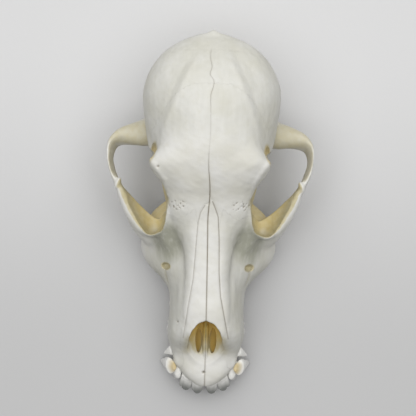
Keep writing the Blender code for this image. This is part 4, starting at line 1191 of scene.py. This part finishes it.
class SKULL_OT_bones(bpy.types.Operator):
    """Model the cranium, press its relief in and part it along the sutures"""
    bl_idname = "skull.bones"
    bl_label = "Bones"

    def execute(self, context):
        sizes = context.scene.skull_sizes
        form_grain = sizes.form_grain / MM * COARSE
        bone_grain = sizes.bone_grain / MM * COARSE
        gap = sizes.suture / MM
        cranium = fused("cranium", cranium_forms(), form_grain, passes_for(sizes.blend / MM, form_grain))
        for region, reach in SLOPES:
            smooth_slope(cranium, region, reach, form_grain)
        hollow_out(cranium, hollow_forms())
        cranium = fused("cranium", [cranium] + nose_forms(), bone_grain,
                        passes_for(sizes.edge / MM, bone_grain))
        hollow_out(cranium, both_sides([bar("palate_slot", PALATE_SLOT, steps=24, upright=False)]))
        hollow_out(cranium, both_sides([ball("capsule_nest", EAR_CAPSULE, grow=gap)]))
        carve(cranium)
        material = bone_material(context.scene.skull_colours)
        for bone, node in self.part(cranium, gap):
            tint(bone.data, *points_of(bone.data))
            finish_piece(bone, material, node)
        return {"FINISHED"}

    def part(self, cranium, gap):
        """The cranium's bones with the nodes that they stand for, cut from front to back."""
        bones = []

        def halves(name, shape, depth, right_shape=None):
            for (side, word), half in zip(SIDES, (shape, right_shape or shape)):
                outline = half_outline(half, side, depth, SEED + len(bones))
                bone = take_bone(cranium, f"{name}_bone_{word}", outline, side, gap)
                bones.append((bone, f"{name}_{word}"))

        def single(name, node, shape, depth, side=1):
            view, outline, heights = shape
            outline = toothed(outline, depth, SINGLE_PITCH, SEED + len(bones))
            bones.append((take_bone(cranium, name, (view, outline, heights), side, gap), node))

        def both(name, shape, depth):
            for side, word in SIDES:
                single(f"{name}_bone_{word}", f"{name}_{word}", shape, depth, side)

        halves("nasal", NASAL_LEFT, 0.0, NASAL_RIGHT)
        halves("premaxilla", PREMAXILLA, 0.10)
        both("temporal", TEMPORAL, 0.30)
        single("occipital_bone", "occipital", OCCIPITAL, 0.35)
        halves("frontal", FRONTAL, 0.35)
        both("cheek", CHEEK, 0.15)
        single("base_bone", "skull_base", BASE, 0.0)
        halves("maxilla", MAXILLA, 0.0)
        # The right parietal is what is left of the cranium once the left one is out.
        last = half_outline(PARIETAL, 1, 0.0, SEED)
        bones.append((take_bone(cranium, "parietal_bone_left", last, 1, gap), "parietal_left"))
        keep_largest(cranium)
        cranium.name = "parietal_bone_right"
        bones.append((cranium, "parietal_right"))
        return bones


class SKULL_OT_ear_capsules(bpy.types.Operator):
    """Model the two ear capsules under the braincase"""
    bl_idname = "skull.ear_capsules"
    bl_label = "Ear capsules"

    def execute(self, context):
        material = bpy.data.materials["bleached_bone"]
        # The swells only go inwards, on the whole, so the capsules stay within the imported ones.
        length, height = CAPSULE_SWELL
        made = both_sides([ball("ear_capsule", EAR_CAPSULE, segments=160)])
        for capsule, (_, word) in zip(made, SIDES):
            capsule.name = f"ear_capsule_{word}"
            points, normals = points_of(capsule.data)
            points += normals * height * (waves(points, length, SEED + 3) - 1)[:, None]
            points[:, 2] = np.maximum(points[:, 2], 0.0)
            move_points(capsule.data, points)
            tint(capsule.data, points, normals)
            finish_piece(capsule, material, f"bulla_{word}")
        return {"FINISHED"}


class SKULL_OT_teeth(bpy.types.Operator):
    """Model the upper teeth in their sockets"""
    bl_idname = "skull.teeth"
    bl_label = "Teeth"

    def execute(self, context):
        grain = context.scene.skull_sizes.tooth_grain / MM * COARSE
        material = enamel_material(context.scene.skull_colours)
        length, height = TOOTH_SWELL
        for name, cusps in TEETH.items():
            tooth = fused(name, [crown(cusp, tip) for cusp, tip in cusps], grain, TOOTH_PASSES)
            gum, drop = cusps[0][0][2], cusps[0][0][7]
            neck = BARE_NECK.get(name, HIDDEN_NECK)
            for piece, (_, word) in zip(both_sides([tooth]), SIDES):
                piece.name = f"{name}_{word}"
                points, normals = points_of(piece.data)
                points += normals * height * waves(points, length, SEED + len(name))[:, None]
                points[:, 2] = np.maximum(points[:, 2], 0.0)
                move_points(piece.data, points)
                # The lower part of each crown is greyed as painted shade.
                below = gum - points[:, 2]
                set_values(piece.data, neck=1 - ramp(below, neck - 1.2, neck + 1.0),
                           glass=GLASSY_TIP.get(name, DULL_TIP) * ramp(below / drop, 0.15, 0.85))
                finish_piece(piece, material)
        return {"FINISHED"}


class SKULL_OT_stage(bpy.types.Operator):
    """Lay the floor, hang the lamp and set the camera over the skull"""
    bl_idname = "skull.stage"
    bl_label = "Stage"

    def execute(self, context):
        self.lay_floor(context.scene)
        self.light(context.scene)
        self.set_camera(context.scene)
        return {"FINISHED"}

    def lay_floor(self, scene):
        """The sheet of paper that the skull lies on."""
        corners = [(x * FLOOR_HALF, y * FLOOR_HALF, 0) for x, y in ((-1, -1), (1, -1), (1, 1), (-1, 1))]
        floor = mesh_object("paper_floor", corners, [(0, 1, 2, 3)])
        floor.data.materials.append(floor_material(scene.skull_colours))

    def light(self, scene):
        """A soft box above and behind the skull, and even light from the room."""
        lamp = bpy.data.lights.new("soft_box", "AREA")
        lamp.shape = "SQUARE"
        lamp.size = LAMP_SIDE * MM
        lamp.energy = LAMP_POWER
        box = bpy.data.objects.new("soft_box", lamp)
        box.location = Vector(LAMP_PLACE) * MM
        box.rotation_euler = (-box.location).to_track_quat("-Z", "Y").to_euler()
        scene.collection.objects.link(box)
        world = bpy.data.worlds.new("studio")
        world.use_nodes = True
        room = world.node_tree.nodes["Background"].inputs
        room["Color"].default_value = (1.0, 1.0, 1.0, 1.0)
        room["Strength"].default_value = ROOM_LIGHT
        scene.world = world
        scene.view_settings.view_transform = "Standard"

    def set_camera(self, scene):
        """The photo's view, straight down from the camera's height."""
        sizes = scene.skull_sizes
        lens = bpy.data.cameras.new("photo_camera")
        lens.sensor_width = SENSOR_WIDTH
        lens.lens = SENSOR_WIDTH * sizes.camera_height / sizes.view_width
        camera = bpy.data.objects.new("photo_camera", lens)
        camera.location = (CAMERA_OVER[0] * MM, CAMERA_OVER[1] * MM, sizes.camera_height)
        camera.rotation_euler = (0.0, 0.0, sizes.camera_turn)
        scene.collection.objects.link(camera)
        scene.camera = camera


class SKULL_PT_panel(bpy.types.Panel):
    """Sizes, colours and steps of the skull"""
    bl_idname = "SKULL_PT_panel"
    bl_label = "Dog Skull"
    bl_space_type = "VIEW_3D"
    bl_region_type = "UI"
    bl_category = "Skull"

    def draw(self, context):
        for group in (context.scene.skull_sizes, context.scene.skull_colours):
            box = self.layout.box()
            for name in group.__annotations__:
                box.prop(group, name)
        for step in STEPS:
            self.layout.operator(step.bl_idname)


STEPS = (SKULL_OT_bones, SKULL_OT_ear_capsules, SKULL_OT_teeth, SKULL_OT_stage)
CLASSES = (SkullSizes, SkullColours) + STEPS + (SKULL_PT_panel,)


def register():
    """The skull's sizes, colours, steps and panel made known to Blender."""
    for one in CLASSES:
        bpy.utils.register_class(one)
    bpy.types.Scene.skull_sizes = bpy.props.PointerProperty(type=SkullSizes)
    bpy.types.Scene.skull_colours = bpy.props.PointerProperty(type=SkullColours)


def unregister():
    """All of them taken away again, in the opposite order."""
    del bpy.types.Scene.skull_colours
    del bpy.types.Scene.skull_sizes
    for one in reversed(CLASSES):
        bpy.utils.unregister_class(one)


def main():
    """The whole dressed skull."""
    register()
    bpy.ops.skull.bones()
    bpy.ops.skull.ear_capsules()
    bpy.ops.skull.teeth()
    bpy.ops.skull.stage()


if __name__ == "__main__":
    main()
